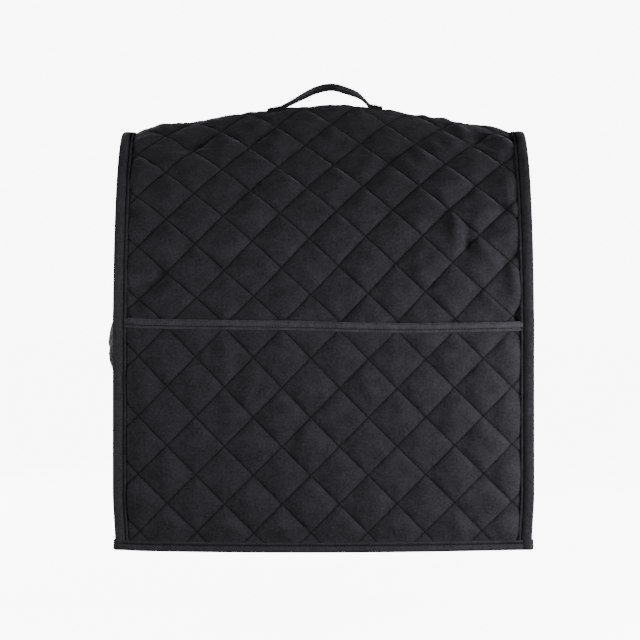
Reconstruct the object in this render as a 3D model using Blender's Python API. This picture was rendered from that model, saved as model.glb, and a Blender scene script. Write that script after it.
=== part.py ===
"""Quilted kitchen cover, in metres, +Z up, its front towards -Y.

One quilted strip runs up the front, over the ridge and down the back. Two quilted end
panels close the sides, a pocket lies across the front, folded tape binds every raw edge,
and a strap handle is sewn to the ridge. The cover is empty below: the origin is the point
under the middle of the ridge where it rests on what it covers.

Lengths along the cloth are called climb: 0 at the front hem, RIDGE_CLIMB at the ridge and
twice that at the back hem. A lift is a distance outwards from the middle of the strip.
"""

import math
from collections import namedtuple

import bmesh
import bpy
import numpy as np
from mathutils import Vector
from mathutils.geometry import delaunay_2d_cdt

# Overall sizes
HALF_WIDTH = 0.1935
HALF_DEPTH = 0.120
WALL_HEIGHT = 0.211
ARCH_CLOTH = 0.2415
RIDGE_CLIMB = WALL_HEIGHT + ARCH_CLOTH
END_PLANE = 0.1845
UNDER_RIDGE = 0.0020

# Cloth and tape
CLOTH = 0.0014
TAPE = 0.0008
GAP = 0.0004
PUFF_OUT = 0.0018
PUFF_IN = 0.0006
QUILT_SIDE = 0.0373
STITCH_SINK = 0.25

# Sewn edges, and the widths over which the padding rises beside them
TUCK = TAPE + 0.0006
SEAM_LINE = 0.1820
SEAM_TAPE_INNER = 0.1835
SEAM_TAPE_BACK = 0.1875
CLOTH_EDGE = HALF_WIDTH - TAPE - 0.0005
HEM_BAND = 0.0083
HEM_LINE = 0.0100
RAMP = 0.018
END_RAMP = 0.012
RING_CLEAR = 0.0020
ROUNDING = 0.0004
RIDGE_ROWS = (-0.010, 0.0, 0.010)
CDT_MERGE_MM = 0.4

# Pocket, and where its cloth steps out to make room for its own folded tape
POCKET_TOP = WALL_HEIGHT - 0.001
POCKET_BAND = 0.0080
POCKET_RAMP_LOW = POCKET_TOP - 0.030
POCKET_RAMP_HIGH = POCKET_TOP - 0.012
POCKET_FLAT = 0.001
POCKET_FADE = 0.006
ABOVE_POCKET = 0.010
POCKET_EASE = 0.0001
POCKET_TAPE_END = SEAM_TAPE_INNER - 0.0008

# Hem tape: where it starts to step out over the seams and where it is back, across and in depth
HEM_STRAIGHT = 0.150
HEM_SIDE_STRAIGHT = 0.070
HEM_STEP_ACROSS = (0.170, 0.180)
HEM_STEP_BACK = (0.1070, 0.0940)
HEM_EASE = 0.001
HEM_ROUND = 0.0015
HEM_TURN = 0.0030
HEM_TURN_OUTER = 0.0050
HEM_CLEAR = 0.0007

# Spacing of the points along the cloth
WALL_STEP = 0.026
ARCH_STEP = 0.0105

Quilt = namedtuple("Quilt", "across climb turn")
FRONT_QUILT = Quilt(across=-0.0117, climb=0.2350, turn=math.radians(2.0))
POCKET_QUILT = Quilt(across=-0.0117, climb=0.1767, turn=0.0)
END_QUILT = Quilt(across=0.0, climb=0.1980, turn=0.0)

# The ridge seen from the front: place across, height above the shoulder. It is level past the ends.
RIDGE = (
    (-0.1810, 0.1795),
    (-0.1680, 0.1848),
    (-0.1290, 0.1900),
    (-0.0906, 0.1967),
    (-0.0420, 0.2035),
    (0.0015, 0.2064),
    (0.0450, 0.2052),
    (0.0838, 0.1986),
    (0.1274, 0.1909),
    (0.1660, 0.1850),
    (0.1810, 0.1803),
)

# How far the cloth leans back, in degrees: share of the arch, at the ends, at the middle
LEAN = (
    (0.00, 2.0, 8.0),
    (0.11, 7.0, 15.0),
    (0.22, 12.0, 18.0),
    (0.33, 17.0, 20.0),
    (0.44, 22.0, 28.0),
    (0.55, 29.0, 35.0),
    (0.66, 38.0, 40.0),
    (0.77, 50.0, 40.0),
    (0.88, 66.0, 40.0),
    (0.96, 82.0, 52.0),
    (1.00, 90.0, 90.0),
)

# Soft hollows and swells of the cloth: place across, height, side (-1 front, 1 back),
# reach across, reach up, push outwards
SWELLS = (
    (-0.120, 0.100, -1, 0.080, 0.065, 0.0014),
    (0.045, 0.140, -1, 0.090, 0.060, -0.0012),
    (0.130, 0.060, -1, 0.070, 0.070, 0.0013),
    (-0.030, 0.040, -1, 0.090, 0.050, -0.0010),
    (0.125, 0.265, -1, 0.060, 0.060, 0.0016),
    (-0.140, 0.262, -1, 0.055, 0.055, -0.0014),
    (0.010, 0.290, -1, 0.080, 0.060, -0.0010),
    (-0.080, 0.120, 1, 0.090, 0.080, 0.0015),
    (0.100, 0.180, 1, 0.090, 0.080, -0.0014),
    (0.020, 0.060, 1, 0.080, 0.060, 0.0012),
)
HEM_SAG = 0.0028
SAG_PLACE = -0.020
SAG_FADE_UP = 0.08
SAG_EDGE = (0.165, 0.193)
HEM_DRAW = 0.012
HEM_DRAW_HEIGHT = 0.055

# The end panels are crowned: how far out, and how far in from the edge the crown is full
END_CROWN = 0.0055
END_CROWN_REACH = 0.06
END_SWELL_REACH = 0.014

# The end panels swell most here: side, place in depth, height, reach, push outwards
END_SWELLS = (
    (-1, -0.088, 0.184, 0.030, 0.0062),
    (-1, 0.020, 0.100, 0.060, 0.0020),
    (1, -0.030, 0.150, 0.070, 0.0022),
)

# Handle: place across, height above the shoulder, roll in degrees, share bent over the ridge
HANDLE = (
    (-0.0540, 0.2041, 0.0, 1.0),
    (-0.0430, 0.2059, 2.0, 1.0),
    (-0.0340, 0.2102, 6.0, 0.5),
    (-0.0200, 0.2165, 14.0, 0.0),
    (-0.0068, 0.2227, 20.0, 0.0),
    (0.0080, 0.2255, 20.0, 0.0),
    (0.0218, 0.2222, 20.0, 0.0),
    (0.0334, 0.2178, 17.0, 0.0),
    (0.0402, 0.2130, 10.0, 0.3),
    (0.0450, 0.2085, 4.0, 0.8),
    (0.0500, 0.2069, 0.0, 1.0),
    (0.0570, 0.2060, 0.0, 1.0),
)
STRAP_WIDTH = 0.022
STRAP_THICK = 0.0022
STRAP_STEPS = 3
TABS = ((-0.0560, -0.0400), (0.0430, 0.0590))
TAB_REACH = 0.0130


def smooth(share):
    """An S-curve from 0 to 1."""
    share = min(max(share, 0.0), 1.0)
    return share * share * (3.0 - 2.0 * share)


def ramp(value, start, end):
    """A straight rise from 0 at start to 1 at end."""
    return min(max((value - start) / (end - start), 0.0), 1.0)


def through(rows, column, place):
    """The smooth curve through one column of a table, read at a place in its first column."""
    places = [row[0] for row in rows]
    values = [row[column] for row in rows]
    slopes = np.gradient(values, places)
    place = min(max(place, places[0]), places[-1])
    right = min(max(int(np.searchsorted(places, place)), 1), len(places) - 1)
    left = right - 1
    width = places[right] - places[left]
    share = (place - places[left]) / width
    return (
        values[left] * (1.0 + 2.0 * share) * (1.0 - share) ** 2
        + values[right] * share * share * (3.0 - 2.0 * share)
        + slopes[left] * width * share * (1.0 - share) ** 2
        - slopes[right] * width * share * share * (1.0 - share)
    )


def arch_curve(column):
    """Run and rise along the arch for one column of LEAN, each from 0 to 1."""
    shares = np.linspace(0.0, 1.0, 241)
    middles = (shares[1:] + shares[:-1]) / 2.0
    table = np.array(LEAN)
    lean = np.radians(np.interp(middles, table[:, 0], table[:, column]))
    run = np.concatenate([[0.0], np.cumsum(np.sin(lean))])
    rise = np.concatenate([[0.0], np.cumsum(np.cos(lean))])
    return shares, run / run[-1], rise / rise[-1]


END_ARCH = arch_curve(1)
MIDDLE_ARCH = arch_curve(2)
RIDGE_LOW = min(height for _, height in RIDGE)
RIDGE_HIGH = max(height for _, height in RIDGE)


def strip_middle(across, climb):
    """The middle of the strip's cloth at a place across and a climb."""
    side = -1.0
    if climb > RIDGE_CLIMB:
        side = 1.0
        climb = 2.0 * RIDGE_CLIMB - climb
    if climb <= WALL_HEIGHT:
        return Vector((across, side * HALF_DEPTH, climb))
    share = (climb - WALL_HEIGHT) / ARCH_CLOTH
    ridge = through(RIDGE, 1, across)
    tent = (ridge - RIDGE_LOW) / (RIDGE_HIGH - RIDGE_LOW)
    run = np.interp(share, END_ARCH[0], END_ARCH[1]) * (1.0 - tent)
    run += np.interp(share, MIDDLE_ARCH[0], MIDDLE_ARCH[1]) * tent
    rise = np.interp(share, END_ARCH[0], END_ARCH[2]) * (1.0 - tent)
    rise += np.interp(share, MIDDLE_ARCH[0], MIDDLE_ARCH[2]) * tent
    return Vector((across, side * HALF_DEPTH * (1.0 - run), WALL_HEIGHT + ridge * rise))


def on_strip(across, climb, lift):
    """A point a given lift off the middle of the strip."""
    step = 0.002
    along = strip_middle(across, climb + step) - strip_middle(across, climb - step)
    if climb < 2.0 * step or climb > 2.0 * (RIDGE_CLIMB - step):
        along = Vector((0.0, 0.0, 1.0 if climb < RIDGE_CLIMB else -1.0))
    sideways = Vector((1.0, 0.0, 0.0))
    if abs(across) < SEAM_LINE:
        sideways = strip_middle(across + step, climb) - strip_middle(across - step, climb)
    outwards = sideways.cross(along).normalized()
    return strip_middle(across, climb) + lift * outwards


def settled(point):
    """Where a point of the even cover lies on the hanging one, from the origin under the ridge."""
    across, depth, height = point
    low = 1.0 - smooth((height - WALL_HEIGHT) / SAG_FADE_UP)
    sag = max(0.0, math.cos(math.pi / 2.0 * (across - SAG_PLACE) / (HALF_WIDTH - SAG_PLACE)))
    edge = 1.0 - smooth(ramp(abs(across), *SAG_EDGE))
    push = 0.0
    for place, level, side, reach, reach_up, swell in SWELLS:
        far = ((across - place) / reach) ** 2 + ((height - level) / reach_up) ** 2
        if side * depth > 0.0:
            push += side * swell * math.exp(-far)
    push *= min(1.0, abs(depth) / HALF_DEPTH)
    drawn = 1.0 - HEM_DRAW * (1.0 - smooth(height / HEM_DRAW_HEIGHT))
    top = WALL_HEIGHT + RIDGE_HIGH - UNDER_RIDGE
    return Vector((across * drawn, depth + push, height - HEM_SAG * sag * low * edge - top))


def inside_by(ring, across, climb):
    """How far a flat point lies inside a convex ring that runs anticlockwise."""
    least = math.inf
    for k, start in enumerate(ring):
        end = ring[(k + 1) % len(ring)]
        run, rise = end[0] - start[0], end[1] - start[1]
        off = run * (climb - start[1]) - rise * (across - start[0])
        least = min(least, off / math.hypot(run, rise))
    return least


def quilt_place(quilt, across, climb):
    """The point's place in the quilting, where whole numbers are stitch lines."""
    angle = math.pi / 4.0 + quilt.turn
    over, up = across - quilt.across, climb - quilt.climb
    first = (over * math.cos(angle) + up * math.sin(angle)) / QUILT_SIDE
    second = (up * math.cos(angle) - over * math.sin(angle)) / QUILT_SIDE
    return first, second


def from_quilt(quilt, first, second):
    """The flat point at a place in the quilting."""
    angle = math.pi / 4.0 + quilt.turn
    over = QUILT_SIDE * (first * math.cos(angle) - second * math.sin(angle))
    up = QUILT_SIDE * (first * math.sin(angle) + second * math.cos(angle))
    return quilt.across + over, quilt.climb + up


def puff(quilt, across, climb):
    """How full the padding is, from 0 on a stitch line to 1 inside a square."""
    full = 1.0
    for place in quilt_place(quilt, across, climb):
        full *= min(1.0, abs(place - round(place)) / STITCH_SINK)
    return full


def cut_to_ring(start, end, ring):
    """The part of a line that lies inside a convex ring, or None."""
    low, high = 0.0, 1.0
    run, rise = end[0] - start[0], end[1] - start[1]
    for k, corner in enumerate(ring):
        following = ring[(k + 1) % len(ring)]
        side, up = following[0] - corner[0], following[1] - corner[1]
        here = side * (start[1] - corner[1]) - up * (start[0] - corner[0])
        change = side * rise - up * run
        if abs(change) < 1e-12:
            if here < 0.0:
                return None
            continue
        share = -here / change
        if change > 0.0:
            low = max(low, share)
        else:
            high = min(high, share)
    if high - low < 0.02 * QUILT_SIDE:
        return None
    return [(start[0] + run * t, start[1] + rise * t) for t in (low, high)]


def stitch_lines(quilt, ring):
    """The quilting's stitch lines inside a convex ring."""
    places = [quilt_place(quilt, *corner) for corner in ring]
    lines = []
    for family in (0, 1):
        lowest = math.ceil(min(place[family] for place in places))
        highest = math.floor(max(place[family] for place in places))
        start = min(place[1 - family] for place in places) - 1.0
        end = max(place[1 - family] for place in places) + 1.0
        for number in range(lowest, highest + 1):
            ends = [(number, start), (number, end)]
            if family:
                ends = [(along, fixed) for fixed, along in ends]
            line = cut_to_ring(from_quilt(quilt, *ends[0]), from_quilt(quilt, *ends[1]), ring)
            if line:
                lines.append(line)
    return lines


def padding_points(quilt, ring, places):
    """Points inside the quilting's squares, clear of the ring."""
    corners = [quilt_place(quilt, *corner) for corner in ring]
    first_range = range(math.floor(min(c[0] for c in corners)), math.ceil(max(c[0] for c in corners)))
    second_range = range(math.floor(min(c[1] for c in corners)), math.ceil(max(c[1] for c in corners)))
    found = []
    for first in first_range:
        for second in second_range:
            for over, up in places:
                point = from_quilt(quilt, first + over, second + up)
                if inside_by(ring, *point) > 0.003:
                    found.append(point)
    return found


OUTER_PLACES = ((0.25, 0.25), (0.75, 0.25), (0.25, 0.75), (0.75, 0.75))
INNER_PLACES = ((0.5, 0.5),)


def cut_skin(outline, rings, lines, quilt, places):
    """One face of a panel, laid flat and cut into triangles along its stitch lines.

    Gives its points, its triangles and where the outline's corners are among the points.
    """
    points, edges = [], []

    def add_path(path, closed):
        first = len(points)
        points.extend(path)
        edges.extend((first + k, first + k + 1) for k in range(len(path) - 1))
        if closed:
            edges.append((first + len(path) - 1, first))

    add_path(outline, True)
    for ring in rings:
        add_path(ring, True)
    for line in list(lines) + stitch_lines(quilt, rings[0]):
        add_path(line, False)
    points.extend(padding_points(quilt, rings[0], places))
    millimetres = [Vector((1000.0 * across, 1000.0 * climb)) for across, climb in points]
    flat, _, triangles, origins, _, _ = delaunay_2d_cdt(millimetres, edges, [], 1, CDT_MERGE_MM, True)
    where = {given: found for found, group in enumerate(origins) for given in group}
    flat = [(point.x / 1000.0, point.y / 1000.0) for point in flat]
    return flat, triangles, [where[k] for k in range(len(outline))]


def finished(name, mesh_data, finish):
    """Turns a bmesh into the named object, its faces pointing out."""
    bmesh.ops.recalc_face_normals(mesh_data, faces=mesh_data.faces)
    bmesh.ops.triangulate(mesh_data, faces=mesh_data.faces)
    mesh = bpy.data.meshes.new(name)
    mesh_data.to_mesh(mesh)
    mesh_data.free()
    mesh.materials.append(finish)
    piece = bpy.data.objects.new(name, mesh)
    bpy.context.scene.collection.objects.link(piece)
    mesh.shade_smooth()
    mesh.set_sharp_from_angle(angle=math.radians(35.0))
    return piece


def panel(name, finish, skins, place, flange=None):
    """A closed quilted panel from its outer and inner skin.

    place(side, across, climb) gives the point on the side, 1 outside or -1 inside. A flange
    gives two such functions of side and number, for the fold and the tip of a turned edge
    along the first points of the outline, and how many of those points it has.
    """
    solid = bmesh.new()
    loops = []
    for side, (flat, triangles, loop) in zip((1, -1), skins):
        corners = [solid.verts.new(settled(place(side, *point))) for point in flat]
        for triangle in triangles:
            solid.faces.new([corners[k] for k in triangle])
        edge = [corners[k] for k in loop]
        if flange:
            fold, tip, count = flange
            tips = [solid.verts.new(settled(tip(side, k))) for k in range(count)]
            for k in range(count):
                edge[k].co = settled(fold(side, k))
            for k in range(count - 1):
                solid.faces.new((edge[k], edge[k + 1], tips[k + 1], tips[k]))
            edge = [edge[0]] + tips + edge[count - 1:]
        loops.append(edge)
    outer, inner = loops
    for k in range(len(outer)):
        following = (k + 1) % len(outer)
        solid.faces.new((outer[k], outer[following], inner[following], inner[k]))
    return finished(name, solid, finish)


def swept(name, finish, sections, closed=False):
    """A closed solid through a row of like sections."""
    solid = bmesh.new()
    rows = [[solid.verts.new(settled(point)) for point in section] for section in sections]
    for k in range(len(rows) if closed else len(rows) - 1):
        here, there = rows[k], rows[(k + 1) % len(rows)]
        for j in range(len(here)):
            following = (j + 1) % len(here)
            solid.faces.new((here[j], here[following], there[following], there[j]))
    if not closed:
        solid.faces.new(rows[0])
        solid.faces.new(rows[-1])
    return finished(name, solid, finish)


def evenly(start, end, step):
    """Places from start to end, no further apart than step."""
    return list(np.linspace(start, end, max(2, math.ceil(abs(end - start) / step) + 1)))


def rectangle(places, climbs):
    """An anticlockwise outline with points at the given places across and climbs."""
    outline = [(across, climbs[0]) for across in places[:-1]]
    outline += [(places[-1], climb) for climb in climbs[:-1]]
    outline += [(across, climbs[-1]) for across in reversed(places[1:])]
    outline += [(places[0], climb) for climb in reversed(climbs[1:])]
    return outline


def front_climbs():
    """The climbs of the points up the front, from the hem to the ridge."""
    climbs = evenly(TUCK, POCKET_RAMP_LOW, WALL_STEP)
    climbs += [POCKET_RAMP_HIGH, POCKET_TOP]
    return climbs + evenly(POCKET_TOP + ABOVE_POCKET, RIDGE_CLIMB, ARCH_STEP)


FIELD_ACROSS = evenly(RAMP - SEAM_LINE, SEAM_LINE - RAMP, WALL_STEP)
SEAM_ACROSS = [-SEAM_LINE, *FIELD_ACROSS, SEAM_LINE]
CLOTH_ACROSS = [-CLOTH_EDGE, *SEAM_ACROSS, CLOTH_EDGE]
FRONT_CLIMBS = front_climbs()
ALL_CLIMBS = FRONT_CLIMBS + [2.0 * RIDGE_CLIMB - climb for climb in reversed(FRONT_CLIMBS[:-1])]


def pressed(across, climb):
    """0 under the handle's sewn tabs, where the padding is flat, and 1 elsewhere."""
    for left, right in TABS:
        if left <= across <= right and abs(climb - RIDGE_CLIMB) <= TAB_REACH:
            return 0.0
    return 1.0


def edge_fade(across, climb):
    """0 along the sewn edges of the strip and 1 inside them."""
    low = min(climb, 2.0 * RIDGE_CLIMB - climb)
    sides = ramp(SEAM_LINE - abs(across), 0.0, RAMP)
    return sides * ramp(low, HEM_LINE, HEM_LINE + RAMP)


def build_strip(finish):
    """Front, top and back in one length of quilted cloth."""
    last = 2.0 * RIDGE_CLIMB
    outline = rectangle(CLOTH_ACROSS, ALL_CLIMBS)
    middle = [c for c in ALL_CLIMBS if HEM_LINE < c < last - HEM_LINE]
    seam = rectangle(SEAM_ACROSS, [HEM_LINE, *middle, last - HEM_LINE])
    reach = HEM_LINE + RAMP
    inner = [c for c in ALL_CLIMBS[::2] if reach < c < last - reach]
    field = rectangle(FIELD_ACROSS, [reach, *inner, last - reach])
    lines = [[(x, RIDGE_CLIMB + off) for x in FIELD_ACROSS] for off in RIDGE_ROWS]
    for left, right in TABS:
        low, high = RIDGE_CLIMB - TAB_REACH, RIDGE_CLIMB + TAB_REACH
        lines.append([(left, low), (right, low), (right, high), (left, high), (left, low)])

    def place(side, across, climb):
        full = puff(FRONT_QUILT, across, climb) * edge_fade(across, climb) * pressed(across, climb)
        lift = CLOTH / 2.0 + full * (PUFF_OUT if side > 0 else PUFF_IN)
        return on_strip(across, climb, side * lift)

    skins = (
        cut_skin(outline, [seam, field], lines, FRONT_QUILT, OUTER_PLACES),
        cut_skin(outline, [seam], lines[: len(RIDGE_ROWS)], FRONT_QUILT, INNER_PLACES),
    )
    return panel("body_panel", finish, skins, place)


def pocket_lift(across, climb):
    """The middle of the pocket's cloth, out from the middle of the strip."""
    top = ramp(climb, POCKET_RAMP_LOW, POCKET_RAMP_HIGH)
    at_seam = CLOTH + GAP + top * (TAPE + GAP)
    free = CLOTH + PUFF_OUT + PUFF_IN + GAP + top * (TAPE + GAP - PUFF_IN + POCKET_EASE)
    sides = ramp(SEAM_LINE - abs(across), 0.0, RAMP)
    return at_seam + (free - at_seam) * min(sides, ramp(climb, HEM_LINE, HEM_LINE + RAMP))


def build_pocket(finish):
    """The quilted pocket across the whole front, caught in the seams and the hem."""
    top = POCKET_TOP - TAPE - GAP
    climbs = [c for c in FRONT_CLIMBS if c < top - GAP] + [top]
    outline = rectangle(CLOTH_ACROSS, climbs)
    band = POCKET_TOP - HEM_LINE
    middle = [c for c in climbs if HEM_LINE < c < band - POCKET_FLAT]
    seam = rectangle(SEAM_ACROSS, [HEM_LINE, *middle, band])
    reach = HEM_LINE + RAMP
    inner = [c for c in climbs if reach < c < band - 4.0 * POCKET_FLAT]
    field = rectangle(FIELD_ACROSS, [reach, *inner, band - POCKET_FLAT])

    def place(side, across, climb):
        full = puff(POCKET_QUILT, across, climb) * edge_fade(across, climb)
        full *= 1.0 - ramp(climb, band - POCKET_FADE, band)
        lift = CLOTH / 2.0 + full * (PUFF_OUT if side > 0 else PUFF_IN)
        return on_strip(across, climb, pocket_lift(across, climb) + side * lift)

    skins = (
        cut_skin(outline, [seam, field], [], POCKET_QUILT, OUTER_PLACES),
        cut_skin(outline, [seam, field], [], POCKET_QUILT, INNER_PLACES),
    )
    return panel("pocket_panel", finish, skins, place)


def end_path(side_of_cover, lift):
    """The edge of an end panel, as depth and height, at a lift off the strip's middle."""
    points = [on_strip(side_of_cover * END_PLANE, climb, lift) for climb in ALL_CLIMBS]
    return [(round(point.y, 6), round(point.z, 6)) for point in points]


def build_end(name, finish, side_of_cover):
    """An arched end panel, its edge turned outwards under the strip's edge."""
    count = len(ALL_CLIMBS)
    layer = -(CLOTH + GAP)
    edge = end_path(side_of_cover, layer)[::-1]
    bottom = [(depth, TUCK) for depth in evenly(edge[-1][0], edge[0][0], WALL_STEP)[1:-1]]
    outline = edge + bottom
    inset = end_path(side_of_cover, layer - HEM_LINE)[::-1]
    inset = [point for point in inset if point[1] > HEM_LINE + RING_CLEAR]
    floor = [(depth, HEM_LINE) for depth in evenly(inset[-1][0], inset[0][0], WALL_STEP)]
    ring = inset + floor

    def crown(depth, height):
        inner = max(0.0, inside_by(ring, depth, height))
        bulge = END_CROWN * smooth(inner / END_CROWN_REACH)
        for side, place, level, reach, push in END_SWELLS:
            far = ((depth - place) ** 2 + (height - level) ** 2) / reach**2
            if side == side_of_cover:
                bulge += push * math.exp(-far) * smooth(inner / END_SWELL_REACH)
        return bulge

    def place(side, depth, height):
        full = puff(END_QUILT, depth, height) * ramp(inside_by(ring, depth, height), 0.0, END_RAMP)
        lift = CLOTH / 2.0 + full * (PUFF_OUT if side > 0 else PUFF_IN)
        out = END_PLANE + crown(depth, height) + side * lift
        return Vector((side_of_cover * out, depth, height))

    def edge_point(side, number, out):
        climb = ALL_CLIMBS[count - 1 - number]
        point = on_strip(side_of_cover * END_PLANE, climb, layer - side * CLOTH / 2.0)
        return Vector((side_of_cover * out, point.y, point.z))

    def fold(side, number):
        return edge_point(side, number, END_PLANE + side * CLOTH / 2.0)

    def tip(side, number):
        return edge_point(side, number, CLOTH_EDGE)

    skins = (
        cut_skin(outline, [ring], [], END_QUILT, OUTER_PLACES),
        cut_skin(outline, [ring], [], END_QUILT, INNER_PLACES),
    )
    return panel(name, finish, skins, place, flange=(fold, tip, count))


def seam_tape_lift(climb):
    """The underside of a seam binding's outer leg: it steps over the pocket's edge."""
    bare = CLOTH / 2.0 + GAP
    low = CLOTH + GAP + bare
    high = low + TAPE + GAP
    climbs = (0.0, POCKET_RAMP_LOW, POCKET_RAMP_HIGH, POCKET_TOP, POCKET_TOP + ABOVE_POCKET)
    return float(np.interp(climb, climbs, (low, low, high, high, bare)))


def build_seam_binding(name, finish, side_of_cover):
    """Tape folded over the edges of the strip and an end panel, up the front and down the back."""
    back = -(1.5 * CLOTH + 2.0 * GAP)
    web = HALF_WIDTH - TAPE
    sections = []
    for climb in ALL_CLIMBS:
        under = seam_tape_lift(climb)
        over = under + TAPE
        corners = (
            (SEAM_TAPE_INNER, under),
            (SEAM_TAPE_INNER, over),
            (HALF_WIDTH - 2.0 * ROUNDING, over),
            (HALF_WIDTH, over - 2.0 * ROUNDING),
            (HALF_WIDTH, back - TAPE + ROUNDING),
            (HALF_WIDTH - ROUNDING, back - TAPE),
            (SEAM_TAPE_BACK, back - TAPE),
            (SEAM_TAPE_BACK, back),
            (web, back),
            (web, under),
        )
        sections.append([on_strip(side_of_cover * out, climb, lift) for out, lift in corners])
    return swept(name, finish, sections)


def build_pocket_binding(finish):
    """Tape folded over the pocket's top edge, between the two seam bindings."""
    places = [-POCKET_TAPE_END, *SEAM_ACROSS, POCKET_TAPE_END]
    leg = CLOTH / 2.0 + GAP
    bottom = POCKET_TOP - POCKET_BAND
    sections = []
    for across in places:
        middle = pocket_lift(across, POCKET_TOP)
        corners = (
            (leg, bottom),
            (leg + TAPE, bottom),
            (leg + TAPE, POCKET_TOP - ROUNDING),
            (leg + TAPE - ROUNDING, POCKET_TOP),
            (ROUNDING - leg - TAPE, POCKET_TOP),
            (-leg - TAPE, POCKET_TOP - ROUNDING),
            (-leg - TAPE, bottom),
            (-leg, bottom),
            (-leg, POCKET_TOP - TAPE),
            (leg, POCKET_TOP - TAPE),
        )
        sections.append([Vector((across, -HALF_DEPTH - middle - off, z)) for off, z in corners])
    return swept("pocket_binding", finish, sections)


def hem_stations():
    """Pairs of inner and outer points in plan, once round the hem, anticlockwise from above.

    Near each corner the tape steps out over the end of the seam binding and comes back in on
    the end panel.
    """
    leg = CLOTH / 2.0 + GAP + TAPE
    inner_front, inner_side = HALF_DEPTH - leg, END_PLANE - leg
    outer_side = END_PLANE + leg
    bulge = TAPE + 2.0 * GAP
    past_seam = HALF_WIDTH + TAPE + HEM_CLEAR
    quarter = {}
    for side in (-1, 1):
        outer = HALF_DEPTH + leg + (CLOTH + GAP if side < 0 else 0.0)
        over = outer + bulge
        step_start, step_end = HEM_STEP_ACROSS
        back_start, back_end = HEM_STEP_BACK
        quarter[side] = (
            ((step_start, inner_front), (step_start, outer)),
            ((step_end - HEM_EASE, inner_front), (step_end, over)),
            ((inner_side, inner_front), (HALF_WIDTH - HEM_EASE, over)),
            ((inner_side, inner_front - 1.5 * GAP), (past_seam + GAP, over - HEM_ROUND)),
            ((inner_side, inner_front - HEM_TURN), (past_seam, HALF_DEPTH - HEM_TURN_OUTER)),
            ((inner_side, back_start + HEM_EASE), (past_seam - HEM_TURN, back_start)),
            ((inner_side, back_end + HEM_EASE), (outer_side, back_end)),
        )
    run = evenly(-HEM_STRAIGHT, HEM_STRAIGHT, WALL_STEP)
    side_run = evenly(-HEM_SIDE_STRAIGHT, HEM_SIDE_STRAIGHT, WALL_STEP)
    stations = [((x, -inner_front), (x, -quarter[-1][0][1][1])) for x in run]
    stations += [((ix, -iy), (ox, -oy)) for (ix, iy), (ox, oy) in quarter[-1]]
    stations += [((inner_side, y), (outer_side, y)) for y in side_run]
    stations += list(reversed(quarter[1]))
    stations += [((x, inner_front), (x, quarter[1][0][1][1])) for x in reversed(run)]
    stations += [((-ix, iy), (-ox, oy)) for (ix, iy), (ox, oy) in quarter[1]]
    stations += [((-inner_side, y), (-outer_side, y)) for y in reversed(side_run)]
    stations += [((-ix, -iy), (-ox, -oy)) for (ix, iy), (ox, oy) in reversed(quarter[-1])]
    return stations


def build_hem_binding(finish):
    """Tape folded over the bottom edge, once round, with the seam bindings' ends inside it."""
    sections = []
    for inner, outer in hem_stations():
        start, end = Vector(inner), Vector(outer)
        outwards = (end - start).normalized()
        turn = 2.0 * ROUNDING
        corners = (
            (end, HEM_BAND),
            (end, turn),
            (end - turn * outwards, 0.0),
            (start + turn * outwards, 0.0),
            (start, turn),
            (start, HEM_BAND),
            (start + TAPE * outwards, HEM_BAND),
            (start + TAPE * outwards, TAPE),
            (end - TAPE * outwards, TAPE),
            (end - TAPE * outwards, HEM_BAND),
        )
        sections.append([Vector((plan.x, plan.y, height)) for plan, height in corners])
    return swept("hem_binding", finish, sections, closed=True)


def build_handle(finish):
    """A flat strap with its two ends sewn to the ridge and an open loop between them."""
    numbers = np.arange(len(HANDLE))
    rows = [(number, *row) for number, row in zip(numbers, HANDLE)]
    half = STRAP_WIDTH / 2.0
    edge = STRAP_THICK / 4.0
    shares = (-1.0, -0.5, 0.0, 0.5, 1.0)
    sections = []
    for number in np.linspace(0.0, numbers[-1], STRAP_STEPS * int(numbers[-1]) + 1):
        across, height, roll, bent = (through(rows, column, number) for column in (1, 2, 3, 4))
        before, after = max(number - 0.1, 0.0), min(number + 0.1, numbers[-1])
        ahead = through(rows, 1, after) - through(rows, 1, before)
        rise = through(rows, 2, after) - through(rows, 2, before)
        slope = math.atan2(rise, ahead)
        middle = strip_middle(across, RIDGE_CLIMB)
        upper, lower = [], []
        for share in shares:
            ridge_point = strip_middle(across, RIDGE_CLIMB + share * half)
            drop = (middle.z - ridge_point.z) * min(max(bent, 0.0), 1.0)
            depth = share * half + (ridge_point.y - share * half) * min(max(bent, 0.0), 1.0)
            lift = depth * math.sin(math.radians(roll))
            depth *= math.cos(math.radians(roll))
            thick = STRAP_THICK / 2.0 - (edge if abs(share) == 1.0 else 0.0)
            level = WALL_HEIGHT + height - drop + lift
            out = Vector((-math.sin(slope), 0.0, math.cos(slope)))
            upper.append(Vector((across, depth, level)) + thick * out)
            lower.append(Vector((across, depth, level)) - thick * out)
        sections.append(upper + lower[::-1])
    return swept("handle_strap", finish, sections)


def finish_named(name, red, green, blue, roughness):
    """A cloth finish with its colour in linear values."""
    finish = bpy.data.materials.new(name)
    finish.use_nodes = True
    shader = finish.node_tree.nodes["Principled BSDF"]
    shader.inputs["Base Color"].default_value = (red, green, blue, 1.0)
    shader.inputs["Roughness"].default_value = roughness
    shader.inputs["Metallic"].default_value = 0.0
    return finish


def main():
    """Clears the scene and builds every piece of the cover."""
    for item in list(bpy.data.objects):
        bpy.data.objects.remove(item, do_unlink=True)
    quilted = finish_named("quilted cotton", 0.023, 0.022, 0.027, 0.95)
    tape = finish_named("cotton binding tape", 0.040, 0.039, 0.044, 0.85)
    strap = finish_named("cotton strap", 0.020, 0.020, 0.022, 0.9)
    build_strip(quilted)
    build_end("end_panel_left", quilted, -1)
    build_end("end_panel_right", quilted, 1)
    build_pocket(quilted)
    build_pocket_binding(tape)
    build_seam_binding("seam_binding_left", tape, -1)
    build_seam_binding("seam_binding_right", tape, 1)
    build_hem_binding(tape)
    build_handle(strap)


main()
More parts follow.
